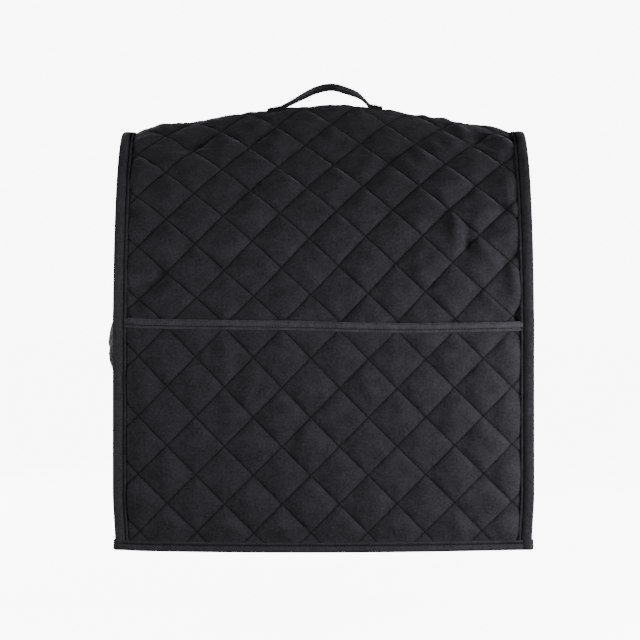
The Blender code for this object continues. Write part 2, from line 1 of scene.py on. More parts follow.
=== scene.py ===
# %% [markdown]
# This notebook dresses a quilted kitchen cover: a padded cotton cover with an arched top, a
# pocket over its whole lower front, tape round every raw edge and a strap handle on the ridge.
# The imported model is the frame. It has plain solids in the right places, and each piece here is
# made again as real cloth in the same frame: cut flat, quilted, and bent into its hanging shape.
# Lengths are in metres. The front faces -Y, and the origin is under the middle of the ridge.

# %% Load the frame
import math
from collections import namedtuple

import bmesh
import bpy
import numpy as np
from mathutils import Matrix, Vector


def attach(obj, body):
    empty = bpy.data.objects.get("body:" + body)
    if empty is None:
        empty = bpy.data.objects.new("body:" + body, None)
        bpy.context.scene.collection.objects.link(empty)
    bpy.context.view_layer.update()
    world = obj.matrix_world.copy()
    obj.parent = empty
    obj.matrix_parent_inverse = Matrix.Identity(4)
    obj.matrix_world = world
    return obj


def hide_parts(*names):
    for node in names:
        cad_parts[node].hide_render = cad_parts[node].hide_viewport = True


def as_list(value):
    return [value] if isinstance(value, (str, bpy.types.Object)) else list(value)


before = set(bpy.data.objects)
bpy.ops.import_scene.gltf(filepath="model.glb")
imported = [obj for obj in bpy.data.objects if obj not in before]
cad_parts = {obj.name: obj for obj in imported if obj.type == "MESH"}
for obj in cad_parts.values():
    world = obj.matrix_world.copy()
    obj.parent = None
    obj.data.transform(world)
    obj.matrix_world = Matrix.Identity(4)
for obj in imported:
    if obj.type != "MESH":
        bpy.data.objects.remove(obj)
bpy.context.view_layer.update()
print("Nodes:", sorted(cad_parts))

# %% [markdown]
# A cover is sewn from flat cloth, so a place on it is best named the way a sewer would: how far
# across the cloth, and how far up along it. That length along the cloth is called climb here. It
# is 0 at the front hem, grows up the wall and over the arch to the ridge, and goes on down the
# back. These sizes are the frame's own, so that every piece of cloth lies where its solid does. A
# quilting is given by a place where two of its stitch lines cross, by its turn, and for both
# directions by how steeply its pillows rise and where they are highest.

# %% Sizes of the cover
HALF_WIDTH = 0.1935
HALF_DEPTH = 0.120
WALL_HEIGHT = 0.211
ARCH_CLOTH = 0.2415
RIDGE_CLIMB = WALL_HEIGHT + ARCH_CLOTH
END_PLANE = 0.1845
UNDER_RIDGE = 0.0020

CLOTH = 0.0014
TAPE = 0.0008
GAP = 0.0004
SEAM_LINE = 0.1820
SEAM_TAPE_INNER = 0.1835
SEAM_TAPE_BACK = 0.1875
CLOTH_EDGE = HALF_WIDTH - TAPE - 0.0005
TUCK = TAPE + 0.0006
HEM_BAND = 0.0083
HEM_LINE = 0.0100
POCKET_TOP = WALL_HEIGHT - 0.001
POCKET_BAND = 0.0086

QUILT_SIDE = 0.0373
Quilt = namedtuple("Quilt", "across climb turn rises peaks")
FRONT_QUILT = Quilt(-0.0117, 0.2350, math.radians(2.0), rises=(4.2, 1.9), peaks=(0.5, 0.44))
POCKET_QUILT = Quilt(-0.0117, 0.1767, 0.0, rises=(2.1, 2.1), peaks=(0.5, 0.5))
END_QUILT = Quilt(0.0, 0.1980, 0.0, rises=(2.1, 2.1), peaks=(0.5, 0.5))

print("Cloth for front, top and back:", 2000.0 * CLOTH_EDGE, "x", 2000.0 * RIDGE_CLIMB, "mm")

# %% [markdown]
# The ridge isn't level: it droops to both ends, as cloth does when it is held up in the middle.
# The walls lean back more and more on their way up. A cloth simulation could find such a shape,
# but it would move every edge that the frame fixes. So two short tables hold the shape, a smooth
# curve is read through their rows, and adding up small steps along the lean gives the arch.

# %% The ridge and the arch
RIDGE = (
    (-0.1810, 0.1795),
    (-0.1680, 0.1848),
    (-0.1290, 0.1900),
    (-0.0906, 0.1967),
    (-0.0420, 0.2035),
    (0.0015, 0.2064),
    (0.0450, 0.2052),
    (0.0838, 0.1986),
    (0.1274, 0.1909),
    (0.1660, 0.1850),
    (0.1810, 0.1803),
)
LEAN = (
    (0.00, 2.0, 8.0),
    (0.11, 7.0, 15.0),
    (0.22, 12.0, 18.0),
    (0.33, 17.0, 20.0),
    (0.44, 22.0, 28.0),
    (0.55, 29.0, 35.0),
    (0.66, 38.0, 40.0),
    (0.77, 50.0, 40.0),
    (0.88, 66.0, 40.0),
    (0.96, 82.0, 52.0),
    (1.00, 90.0, 90.0),
)


def curve_through(rows, column, places):
    """The smooth curve through one column of a table, read at places in its first column."""
    knots = np.array([row[0] for row in rows])
    values = np.array([row[column] for row in rows])
    slopes = np.gradient(values, knots)
    places = np.clip(places, knots[0], knots[-1])
    right = np.clip(np.searchsorted(knots, places), 1, len(knots) - 1)
    left = right - 1
    width = knots[right] - knots[left]
    share = (places - knots[left]) / width
    level = values[left] * (1.0 + 2.0 * share) * (1.0 - share) ** 2
    level += values[right] * share * share * (3.0 - 2.0 * share)
    level += slopes[left] * width * share * (1.0 - share) ** 2
    return level - slopes[right] * width * share * share * (1.0 - share)


def arch_curve(column):
    """Run and rise along the arch for one column of the lean table, each from 0 to 1."""
    shares = np.linspace(0.0, 1.0, 241)
    middles = (shares[1:] + shares[:-1]) / 2.0
    table = np.array(LEAN)
    lean = np.radians(np.interp(middles, table[:, 0], table[:, column]))
    run = np.concatenate([[0.0], np.cumsum(np.sin(lean))])
    rise = np.concatenate([[0.0], np.cumsum(np.cos(lean))])
    return shares, run / run[-1], rise / rise[-1]


END_ARCH = arch_curve(1)
MIDDLE_ARCH = arch_curve(2)
RIDGE_LOW = min(height for _, height in RIDGE)
RIDGE_HIGH = max(height for _, height in RIDGE)


def strip_middle(across, climb):
    """The middle of the long strip's cloth, as an array of points."""
    side = np.where(climb > RIDGE_CLIMB, 1.0, -1.0)
    climb = np.where(climb > RIDGE_CLIMB, 2.0 * RIDGE_CLIMB - climb, climb)
    share = np.clip((climb - WALL_HEIGHT) / ARCH_CLOTH, 0.0, 1.0)
    ridge = curve_through(RIDGE, 1, across)
    tent = (ridge - RIDGE_LOW) / (RIDGE_HIGH - RIDGE_LOW)
    run, rise = (
        np.interp(share, END_ARCH[0], END_ARCH[k]) * (1.0 - tent)
        + np.interp(share, MIDDLE_ARCH[0], MIDDLE_ARCH[k]) * tent
        for k in (1, 2)
    )
    height = np.minimum(climb, WALL_HEIGHT) + ridge * rise
    return np.stack([across + 0.0 * height, side * HALF_DEPTH * (1.0 - run), height], axis=-1)


def on_strip(across, climb, lift):
    """Points a given lift outwards from the middle of the strip."""
    across, climb, lift = np.broadcast_arrays(
        np.asarray(across, float), np.asarray(climb, float), np.asarray(lift, float)
    )
    step = 0.002
    along = strip_middle(across, climb + step) - strip_middle(across, climb - step)
    at_hem = (climb < 2.0 * step) | (climb > 2.0 * (RIDGE_CLIMB - step))
    up = np.where(climb < RIDGE_CLIMB, 1.0, -1.0)
    straight = np.stack([0.0 * up, 0.0 * up, up], axis=-1)
    along = np.where(at_hem[..., None], straight, along)
    sideways = strip_middle(across + step, climb) - strip_middle(across - step, climb)
    level = np.zeros_like(sideways)
    level[..., 0] = 1.0
    sideways = np.where((np.abs(across) < SEAM_LINE)[..., None], sideways, level)
    outwards = np.cross(sideways, along)
    outwards /= np.linalg.norm(outwards, axis=-1, keepdims=True)
    return strip_middle(across, climb) + lift[..., None] * outwards


print("Height at the ridge:", WALL_HEIGHT + RIDGE_HIGH, "and at the ends:", WALL_HEIGHT + RIDGE_LOW)

# %% [markdown]
# Real cloth never hangs evenly. The hem sags a little in the middle, its tape draws it in, and
# soft swells and hollows wander over the panels. The front is hitched up a few millimetres at
# the pocket's edge, from the middle to the left. All pieces share this step, so a tape always
# follows the cloth under it. A swell fades out as a bell curve does.

# %% How the cloth settles
SWELLS = (
    (-0.120, 0.100, -1, 0.080, 0.065, 0.0014),
    (0.045, 0.140, -1, 0.090, 0.060, -0.0012),
    (0.130, 0.060, -1, 0.070, 0.070, 0.0013),
    (-0.030, 0.040, -1, 0.090, 0.050, -0.0010),
    (0.125, 0.265, -1, 0.060, 0.060, 0.0016),
    (-0.140, 0.262, -1, 0.055, 0.055, -0.0014),
    (0.010, 0.290, -1, 0.080, 0.060, -0.0010),
    (-0.080, 0.120, 1, 0.090, 0.080, 0.0015),
    (0.100, 0.180, 1, 0.090, 0.080, -0.0014),
    (0.020, 0.060, 1, 0.080, 0.060, 0.0012),
)
HEM_SAG = 0.0028
SAG_PLACE = -0.020
SAG_ABOVE = 0.08
HEM_DRAW = 0.012
DRAW_UP = 0.055
HITCH = 0.0034
HITCH_UP, HITCH_DOWN = 0.05, 0.11


def smooth(share):
    """An S-curve from 0 to 1."""
    share = np.clip(share, 0.0, 1.0)
    return share * share * (3.0 - 2.0 * share)


def ramp(value, start, end):
    """A straight rise from 0 at start to 1 at end."""
    return np.clip((value - start) / (end - start), 0.0, 1.0)


def settled(points):
    """Where points of the even cover lie on the hanging one, from the origin under the ridge."""
    across, depth, height = points[..., 0], points[..., 1], points[..., 2]
    low = 1.0 - smooth((height - WALL_HEIGHT) / SAG_ABOVE)
    sag = np.cos(math.pi / 2.0 * (across - SAG_PLACE) / (HALF_WIDTH - SAG_PLACE))
    sag = np.maximum(0.0, sag)
    edge = 1.0 - smooth((np.abs(across) - 0.165) / 0.028)
    push = np.zeros_like(across)
    for place, level, side, reach, reach_up, swell in SWELLS:
        far = ((across - place) / reach) ** 2 + ((height - level) / reach_up) ** 2
        push += np.where(side * depth > 0.0, side * swell * np.exp(-far), 0.0)
    push *= np.minimum(1.0, np.abs(depth) / HALF_DEPTH)
    drawn = 1.0 - HEM_DRAW * (1.0 - smooth(height / DRAW_UP))
    away = height - POCKET_TOP
    away = np.where(away > 0.0, away / HITCH_UP, -away / HITCH_DOWN)
    hitch = HITCH * smooth(-depth / 0.10) * (1.0 - smooth((across + 0.06) / 0.16))
    hitch = hitch * (1.0 - smooth(away))
    top = WALL_HEIGHT + RIDGE_HIGH - UNDER_RIDGE
    level = height - HEM_SAG * sag * low * edge + hitch - top
    return np.stack([across * drawn, depth + push, level], axis=-1)


corner = settled(on_strip(np.array([CLOTH_EDGE]), np.array([0.0]), 0.0))[0]
print("Front hem corner lies at", np.round(corner, 4))

# %% [markdown]
# Quilting sews two layers of cloth together with wadding between them, here in squares set on
# their corners. Each square swells into a small pillow. No two pillows are alike, so each gets
# its own fullness, its own highest place and faint wrinkles, and the thread gathers short puckers
# beside its line. All of it is worked out from a seed, which makes the same cloth each time.

# %% Soft noise and pillows
STITCH_DIP = 0.00034
# How wide the shade painted into the colour along each stitch line is.
STITCH_SHADE_REACH = 0.00058
DIP_REACH = 0.00075
WRINKLE = 0.00075
PUCKER = 0.00048
RUMPLE = 0.00050


def soft_noise(first, second, size, seed, waves=14):
    """Smooth noise, mostly between -1 and 1, whose hills are about size wide."""
    chance = np.random.default_rng(seed)
    total = np.zeros(np.broadcast(first, second).shape)
    for _ in range(waves):
        angle = chance.uniform(0.0, 2.0 * math.pi)
        length = size * chance.uniform(1.2, 2.6)
        phase = chance.uniform(0.0, 2.0 * math.pi)
        way = first * math.cos(angle) + second * math.sin(angle)
        total += np.sin(2.0 * math.pi * way / length + phase)
    return total / math.sqrt(waves)


def quilt_place(quilt, across, climb):
    """The place in the quilting, where whole numbers are stitch lines."""
    angle = math.pi / 4.0 + quilt.turn
    over, up = across - quilt.across, climb - quilt.climb
    first = (over * math.cos(angle) + up * math.sin(angle)) / QUILT_SIDE
    second = (up * math.cos(angle) - over * math.sin(angle)) / QUILT_SIDE
    return first, second


def from_quilt(quilt, first, second):
    """The flat point at a place in the quilting."""
    angle = math.pi / 4.0 + quilt.turn
    over = QUILT_SIDE * (first * math.cos(angle) - second * math.sin(angle))
    up = QUILT_SIDE * (first * math.sin(angle) + second * math.cos(angle))
    return quilt.across + over, quilt.climb + up


def pillow(quilt, across, climb, seed):
    """The padding's fullness, from 0 on a stitch line to about 1 in a square, and its wrinkles."""
    first, second = quilt_place(quilt, across, climb)
    cell = np.stack([np.floor(first), np.floor(second)]).astype(int) + 40
    chance = np.random.default_rng(seed).uniform(-1.0, 1.0, (6, 80, 80))
    own = chance[:, cell[0] % 80, cell[1] % 80]
    inner_first, inner_second = first - np.floor(first), second - np.floor(second)
    full = 1.0 + 0.28 * own[0]
    for axis, inner in enumerate((inner_first, inner_second)):
        peak = quilt.peaks[axis] + 0.12 * own[1 + axis]
        rise = np.where(inner < peak, inner / peak, (1.0 - inner) / (1.0 - peak))
        full = full * (1.0 - (1.0 - rise) ** quilt.rises[axis])
    angle = math.pi * own[3]
    way = (inner_first - 0.5) * np.cos(angle) + (inner_second - 0.5) * np.sin(angle)
    wrinkles = own[4] * np.sin(2.0 * math.pi * (2.1 + 0.7 * own[5]) * way + 3.0 * own[0])
    return full, wrinkles * np.minimum(full, 1.0)


def line_distance(quilt, across, climb):
    """The distance to the nearest stitch line, in metres, and the place along that line."""
    first, second = quilt_place(quilt, across, climb)
    off_first = np.abs(first - np.round(first)) * QUILT_SIDE
    off_second = np.abs(second - np.round(second)) * QUILT_SIDE
    along = np.where(off_first < off_second, second, first) * QUILT_SIDE
    return np.minimum(off_first, off_second), along


def quilted_lift(quilt, across, climb, swell, seed):
    """How far quilted cloth stands out from its stitches."""
    full, wrinkles = pillow(quilt, across, climb, seed)
    near, along = line_distance(quilt, across, climb)
    puckers = soft_noise(along, 0.35 * near, 0.0032, seed + 1) * np.exp(-near / 0.0045)
    puckers = puckers * (1.0 - np.exp(-near / 0.0012))
    rumple = soft_noise(across, climb, 0.011, seed + 2) * np.minimum(full, 1.0)
    dip = np.exp(-((near / DIP_REACH) ** 2))
    creased = WRINKLE * wrinkles + PUCKER * puckers + RUMPLE * rumple
    return swell * full + creased - STITCH_DIP * dip


print("A square of the quilting is", 1000.0 * QUILT_SIDE, "mm wide")

# %% [markdown]
# To keep the stitch lines crisp, the flat cloth is a net turned to lie along them: its rows are
# close together beside each line and wider inside the squares. The net is then cut to the shape
# of the panel, one straight cut after another, as scissors would. A panel has two faces and a
# rim, so the same net is used twice, once for the outer face and once for the lining's.

# %% Cut a flat net and turn it into a padded sheet
ROWS = (0.0, 0.017, 0.055, 0.12, 0.21, 0.315, 0.43, 0.57, 0.685, 0.79, 0.88, 0.945, 0.983)
SPARE = 0.006
SNAP = 0.00002


def flat_net(quilt, outline):
    """A net along the stitch lines, cut to a convex outline that runs anticlockwise."""
    corners = np.array([quilt_place(quilt, *point) for point in outline])
    lines = []
    for column in (0, 1):
        start = math.floor(corners[:, column].min())
        end = math.ceil(corners[:, column].max())
        lines.append([number + row for number in range(start, end) for row in ROWS] + [end])
    net = bmesh.new()
    low, high = np.min(outline, axis=0) - SPARE, np.max(outline, axis=0) + SPARE
    rows = []
    for second in lines[1]:
        row = []
        for first in lines[0]:
            point = from_quilt(quilt, first, second)
            inside = low[0] < point[0] < high[0] and low[1] < point[1] < high[1]
            row.append(net.verts.new((*point, 0.0)) if inside else None)
        rows.append(row)
    for lower, upper in zip(rows[:-1], rows[1:]):
        for k in range(len(lower) - 1):
            square = (lower[k], lower[k + 1], upper[k + 1], upper[k])
            if all(square):
                net.faces.new(square)
    cuts = []
    for start, end in zip(outline, outline[1:] + outline[:1]):
        outwards = Vector((end[1] - start[1], start[0] - end[0], 0.0)).normalized()
        if cuts and outwards.dot(cuts[-1][1]) > 0.99999:
            continue
        place = Vector((*start, 0.0))
        cuts.append((place, outwards))
        everything = net.verts[:] + net.edges[:] + net.faces[:]
        bmesh.ops.bisect_plane(
            net, geom=everything, dist=SNAP, plane_co=place, plane_no=outwards, clear_outer=True
        )
    stray = []
    for face in net.faces:
        middle = face.calc_center_median()
        if any((middle - place).dot(outwards) > SNAP / 2.0 for place, outwards in cuts):
            stray.append(face)
    bmesh.ops.delete(net, geom=stray, context="FACES")
    return net


def add_piece(name, mesh):
    """An object for a mesh, shaded smooth and put in the scene."""
    mesh.shade_smooth()
    piece = bpy.data.objects.new(name, mesh)
    bpy.context.scene.collection.objects.link(piece)
    return piece


def mark_mesh(mesh, places, stitch_shade_share):
    """Gives a mesh its places on the flat cloth, and the shade painted near its stitches."""
    layer = mesh.uv_layers.new(name="cloth")
    layer.data.foreach_set("uv", np.asarray(places).ravel())
    painted_stitch_shade = mesh.attributes.new("painted_stitch_shade", "FLOAT", "POINT")
    painted_stitch_shade.data.foreach_set("value", stitch_shade_share)


def sheet_from_net(name, net, shape, quilt, mirrored=False, shade_fade=None):
    """A closed sheet. shape(side, across, climb) gives its points, side 1 outside, -1 inside."""
    net.verts.index_update()
    flat = np.array([vert.co[:2] for vert in net.verts])
    outer_faces = [[vert.index for vert in face.verts] for face in net.faces]
    count = len(flat)
    rim = []
    for edge in net.edges:
        if len(edge.link_loops) == 1:
            start = edge.link_loops[0].vert.index
            end = edge.other_vert(edge.link_loops[0].vert).index
            rim.append([end, start, start + count, end + count])
    net.free()
    inner_faces = [[index + count for index in reversed(face)] for face in outer_faces]
    faces = outer_faces + inner_faces + rim
    if mirrored:
        faces = [list(reversed(face)) for face in faces]
    points = np.concatenate([shape(side, flat[:, 0], flat[:, 1]) for side in (1, -1)])
    mesh = bpy.data.meshes.new(name)
    mesh.from_pydata(points.tolist(), [], faces)
    mesh.update()
    corners = np.empty(len(mesh.loops), dtype=int)
    mesh.loops.foreach_get("vertex_index", corners)
    # Shade is painted into the colour along the stitch lines: strongest on a line, lighter near the
    # ridge.
    near, _ = line_distance(quilt, flat[:, 0], flat[:, 1])
    stitch_shade_share = np.exp(-((near / STITCH_SHADE_REACH) ** 2))
    if shade_fade is not None:
        stitch_shade_share = stitch_shade_share * (1.0 - shade_fade(flat[:, 1]))
    mark_mesh(mesh, np.concatenate([flat, flat])[corners], np.tile(stitch_shade_share, 2))
    return add_piece(name, mesh)


def triangles(piece):
    """How many triangles a piece has."""
    return sum(len(face.vertices) - 2 for face in piece.data.polygons)

# %% [markdown]
# Over the even pillows lie the folds that this cover got from being held up by its handle. They
# could be sculpted, but a table says in plain numbers where each one is, and can be
# changed one by one. Each is a short trough or crest on the flat cloth: from where, to where, how
# wide and how deep. They fade out towards both ends.

# %% Folds from hanging by the handle
FRONT_FOLDS = (
    (-0.1760, 0.2430, -0.1480, 0.2550, 0.0085, -0.0060),
    (-0.1700, 0.2110, -0.1720, 0.2290, 0.0065, -0.0034),
    (-0.1770, 0.3120, -0.1735, 0.3230, 0.0045, -0.0032),
    (0.1770, 0.2110, 0.1790, 0.2230, 0.0045, -0.0014),
    (0.1209, 0.3130, 0.1255, 0.2830, 0.0045, 0.0032),
    (0.1335, 0.3020, 0.1345, 0.2780, 0.0042, -0.0028),
    (0.1430, 0.2830, 0.1600, 0.2620, 0.0048, 0.0032),
    (0.1620, 0.2850, 0.1760, 0.2740, 0.0045, -0.0026),
    (0.1735, 0.2620, 0.1795, 0.2310, 0.0052, 0.0036),
    (0.1480, 0.2370, 0.1700, 0.2130, 0.0050, 0.0030),
    (0.1250, 0.4330, 0.1356, 0.4135, 0.0050, 0.0030),
    (0.1610, 0.4160, 0.1770, 0.4030, 0.0045, 0.0030),
    (0.1450, 0.4100, 0.1600, 0.3930, 0.0060, -0.0022),
    (0.1150, 0.3420, 0.1560, 0.3220, 0.0080, -0.0020),
    (0.1700, 0.3500, 0.1760, 0.3200, 0.0050, 0.0022),
    (-0.1100, 0.3300, -0.0700, 0.3400, 0.0090, -0.0016),
    (-0.1450, 0.3920, -0.1100, 0.4000, 0.0060, -0.0022),
    (-0.1500, 0.3700, -0.1250, 0.3780, 0.0060, 0.0020),
    (-0.0200, 0.3650, 0.0100, 0.3850, 0.0080, -0.0014),
)


def fold_lift(folds, across, climb):
    """The summed height of the folds."""
    lift = np.zeros(np.broadcast(across, climb).shape)
    for start_x, start_y, end_x, end_y, width, height in folds:
        run, rise = end_x - start_x, end_y - start_y
        long = math.hypot(run, rise)
        along = ((across - start_x) * run + (climb - start_y) * rise) / long**2
        aside = ((across - start_x) * rise - (climb - start_y) * run) / long
        fade = smooth((along + 0.35) / 0.5) * smooth((1.35 - along) / 0.5)
        lift += height * fade * np.exp(-((aside / width) ** 2))
    return lift


# %% [markdown]
# The front, the top and the back are one length of quilted cloth: no tape crosses the ridge. Its
# sides run under the seam tape and lie flat there, so the pillows begin just inside the seam, and
# behind the pocket the cloth stays low enough to be clear of it. Towards the ridge the cloth is
# drawn tight by its own weight, so its pillows are flatter, and the shade painted along its
# stitch lines is lighter there. Under the handle's two sewn ends the padding is pressed flat.

# %% The long quilted strip
SWELL_OUT = 0.0034
SWELL_IN = 0.0007
SWELL_COVERED = 0.0015
DRAWN_FROM = 0.35
DRAWN_WITHIN = 0.09
DRAWN_FLAT = 0.5
# How much of the shade painted along the stitch lines is taken back near the ridge.
DRAWN_SHADE_FADE = 0.45
SEAM_RISE = 0.009
TABS = ((-0.0560, -0.0400), (0.0430, 0.0590))
TAB_REACH = 0.0130


def seam_fade(across, climb):
    """0 on the sewn edges of the strip, rising quickly to 1 inside them."""
    low = np.minimum(climb, 2.0 * RIDGE_CLIMB - climb)
    sides = 1.0 - (1.0 - ramp(SEAM_LINE - np.abs(across), 0.0, SEAM_RISE)) ** 2
    return sides * (1.0 - (1.0 - ramp(low, HEM_LINE, HEM_LINE + SEAM_RISE)) ** 2)


def tab_press(across, climb):
    """0 under the handle's sewn ends and 1 away from them."""
    free = np.ones(np.broadcast(across, climb).shape)
    for left, right in TABS:
        beside = np.maximum(left - across, across - right)
        aside = np.maximum(beside, np.abs(climb - RIDGE_CLIMB) - TAB_REACH)
        free *= smooth(aside / 0.005)
    return free


def drawn_tight(climb):
    """0 on the walls, rising to 1 near the ridge, where the cloth is drawn tight."""
    return smooth((np.minimum(climb, 2.0 * RIDGE_CLIMB - climb) - DRAWN_FROM) / DRAWN_WITHIN)


def strip_lift(side, across, climb):
    """How far a face of the strip lies from the middle of its cloth."""
    fade = seam_fade(across, climb) * tab_press(across, climb)
    covered = 1.0 - ramp(climb, POCKET_TOP - 0.020, POCKET_TOP - 0.004)
    outer = SWELL_OUT * (1.0 - DRAWN_FLAT * drawn_tight(climb))
    outer = outer + (SWELL_COVERED - outer) * covered
    swell = outer if side > 0 else SWELL_IN
    quilting = quilted_lift(FRONT_QUILT, across, climb, swell, 11) * fade
    folds = fold_lift(FRONT_FOLDS, across, climb) * (1.0 - covered)
    folds = folds * smooth((SEAM_LINE - np.abs(across)) / 0.003)
    return side * (CLOTH / 2.0 + quilting) + folds


def strip_shape(side, across, climb):
    """Points of the strip's outer or inner face."""
    return settled(on_strip(across, climb, strip_lift(side, across, climb)))


def straight_outline(top):
    """The flat cut of a panel as wide as the cover, from the hem up to a climb."""
    return [(-CLOTH_EDGE, TUCK), (CLOTH_EDGE, TUCK), (CLOTH_EDGE, top), (-CLOTH_EDGE, top)]


def groove_shade_fade(climb):
    """How far the shade painted along the stitch lines is taken back near the ridge."""
    return DRAWN_SHADE_FADE * drawn_tight(climb)


strip_outline = straight_outline(2.0 * RIDGE_CLIMB - TUCK)
strip_net = flat_net(FRONT_QUILT, strip_outline)
quilted_body = sheet_from_net(
    "quilted_body", strip_net, strip_shape, FRONT_QUILT, shade_fade=groove_shade_fade
)
print("Strip:", triangles(quilted_body), "triangles")

# %% [markdown]
# The pocket is a second quilted sheet across the whole front. Its sides are caught in the seams
# and its lower edge in the hem, and its top edge stands a little off the wall, so that things can
# be slipped in. It lies on the pillows of the strip, so it starts a little further out.

# %% The pocket
POCKET_RAMP_LOW = POCKET_TOP - 0.030
POCKET_RAMP_HIGH = POCKET_TOP - 0.012
PUFF_OUT = 0.0018
PUFF_IN = 0.0006
RAMP = 0.018


def pocket_lift(across, climb):
    """The middle of the pocket's cloth, out from the middle of the strip."""
    top = ramp(climb, POCKET_RAMP_LOW, POCKET_RAMP_HIGH)
    at_seam = CLOTH + GAP + top * (TAPE + GAP)
    free = CLOTH + PUFF_OUT + PUFF_IN + GAP + top * (TAPE + GAP - PUFF_IN + 0.0001)
    sides = ramp(SEAM_LINE - np.abs(across), 0.0, RAMP)
    return at_seam + (free - at_seam) * np.minimum(sides, ramp(climb, HEM_LINE, HEM_LINE + RAMP))


def pocket_shape(side, across, climb):
    """Points of the pocket's outer or inner face."""
    band = POCKET_TOP - POCKET_BAND
    fade = seam_fade(across, climb) * (1.0 - (1.0 - ramp(band - climb, 0.0005, 0.008)) ** 2)
    swell = SWELL_OUT if side > 0 else PUFF_IN - 0.0001
    quilting = quilted_lift(POCKET_QUILT, across, climb, swell, 23) * fade
    lift = pocket_lift(across, climb) + side * (CLOTH / 2.0 + quilting)
    return settled(on_strip(across, climb, lift))


pocket_outline = straight_outline(POCKET_TOP - TAPE - GAP)
pocket_net = flat_net(POCKET_QUILT, pocket_outline)
quilted_pocket = sheet_from_net("quilted_pocket", pocket_net, pocket_shape, POCKET_QUILT)
print("Pocket:", triangles(quilted_pocket), "triangles")

# %% [markdown]
# Each end is an arched panel. Its edge is turned outwards and lies under the strip's edge, where
# the tape holds both. The flat cut therefore reaches past the fold by the width of that turned
# edge: a point outside the fold line is carried to the nearest point on the line and then pushed
# outwards by the distance that is left, which is what folding the paper pattern would do.

# %% The arched end panels
END_CROWN = 0.0055
END_LAYER = -(CLOTH + GAP)
TURNED = CLOTH_EDGE - END_PLANE
FOLD_RADIUS = 0.0012
END_SWELLS = (
    (-1, -0.090, 0.186, 0.030, 0.0108),
    (-1, 0.020, 0.100, 0.060, 0.0020),
    (1, -0.030, 0.150, 0.070, 0.0022),
)


def fold_line(side_of_cover, count):
    """The line along which an end panel's edge is turned, as depth and height, back hem first."""
    climbs = np.linspace(2.0 * RIDGE_CLIMB - TUCK, TUCK, count)
    return on_strip(side_of_cover * END_PLANE, climbs, END_LAYER)[:, 1:]


def beside_line(line, points):
    """For each point: the nearest place on a convex line, how far, and how far past the line."""
    far = np.full(len(points), np.inf)
    past = np.full(len(points), -np.inf)
    place = np.zeros((len(points), 2))
    for start, end in zip(line[:-1], line[1:]):
        run = end - start
        share = np.clip(((points - start) @ run) / (run @ run), 0.0, 1.0)
        here = start + share[:, None] * run
        gap = np.linalg.norm(points - here, axis=1)
        closer = gap < far
        far[closer] = gap[closer]
        place[closer] = here[closer]
        outwards = np.array([run[1], -run[0]]) / np.linalg.norm(run)
        past = np.maximum(past, (points - start) @ outwards)
    return place, far, past


def end_shape(side_of_cover):
    """The function that bends one end panel."""
    line = fold_line(side_of_cover, 150)
    centre = np.array([0.0, 0.15])

    def shape(side, depth, height):
        flat = np.stack([depth, height], axis=1)
        place, far, past = beside_line(line, flat)
        inner = np.where(past > 0.0, 0.0, far)
        turned = np.where(past > 0.0, np.minimum(far, TURNED), 0.0)
        bulge = END_CROWN * smooth(inner / 0.06) * smooth((height - HEM_LINE) / 0.05)
        for which, middle, level, reach, push in END_SWELLS:
            if which == side_of_cover:
                spread = ((depth - middle) ** 2 + (height - level) ** 2) / reach**2
                bulge = bulge + push * np.exp(-spread) * smooth(inner / 0.014)
        fade = 1.0 - (1.0 - ramp(inner, 0.003, 0.013)) ** 2
        fade = fade * ramp(height, HEM_LINE, HEM_LINE + SEAM_RISE)
        swell = SWELL_OUT if side > 0 else SWELL_IN
        quilting = quilted_lift(END_QUILT, depth, height, swell, 37 + side_of_cover) * fade
        flat_share = 1.0 - smooth(turned / FOLD_RADIUS)
        out = END_PLANE + bulge + turned + side * (CLOTH / 2.0 + quilting) * flat_share
        to_centre = centre - place
        to_centre /= np.linalg.norm(to_centre, axis=1, keepdims=True)
        edge = place + (side * CLOTH / 2.0 * (1.0 - flat_share))[:, None] * to_centre
        where = np.where((past > 0.0)[:, None], edge, flat)
        return settled(np.stack([side_of_cover * out, where[:, 0], where[:, 1]], axis=1))

    return shape


def end_outline(side_of_cover):
    """The flat cut of an end panel: its fold line moved outwards by the turned edge."""
    line = fold_line(side_of_cover, 60)
    run = np.gradient(line, axis=0)
    outwards = np.stack([run[:, 1], -run[:, 0]], axis=1)
    outwards /= np.linalg.norm(outwards, axis=1, keepdims=True)
    outline = line + TURNED * outwards
    outline[[0, -1], 1] = TUCK
    return [tuple(point) for point in outline]


quilted_ends = {}
end_area = {}
for word, side_of_cover in (("left", -1), ("right", 1)):
    net = flat_net(END_QUILT, end_outline(side_of_cover))
    end_area[word] = sum(face.calc_area() for face in net.faces)
    shape = end_shape(side_of_cover)
    piece = sheet_from_net("quilted_end_" + word, net, shape, END_QUILT, side_of_cover < 0)
    quilted_ends[word] = piece
    print("End", word, triangles(piece), "triangles, cut", round(end_area[word], 4), "square m")

# %% [markdown]
# Tape is a thin strip folded over an edge and sewn through with one row of stitches. Beside the
# row it rises in a soft roll over the edge, and past the row its own folded lip stands up a
# little. The seam tapes also tilt, the right one more than the left. A tape is made as a sheet on
# its middle, row by row along the edge, and Solidify then gives it its thickness. Shade is painted
# into its colour along its groove of stitches. Short functions hold that profile, so all the
# tapes match.

# %% Folded tape
LIP = 0.0027
LIP_RISE = 0.00035
ROLL_RISE = 0.00100
STITCH_PRESS = 0.00080
TAPE_TILTS = {-1: 0.0014, 1: 0.0036}
# How wide the shade painted along a tape's groove of stitches is.
GROOVE_SHADE_REACH = 0.00115
NEAR_LIP = (0.0, 0.0006, 0.0013, 0.0019, 0.0023, 0.0027, 0.0031, 0.0036, 0.0044)


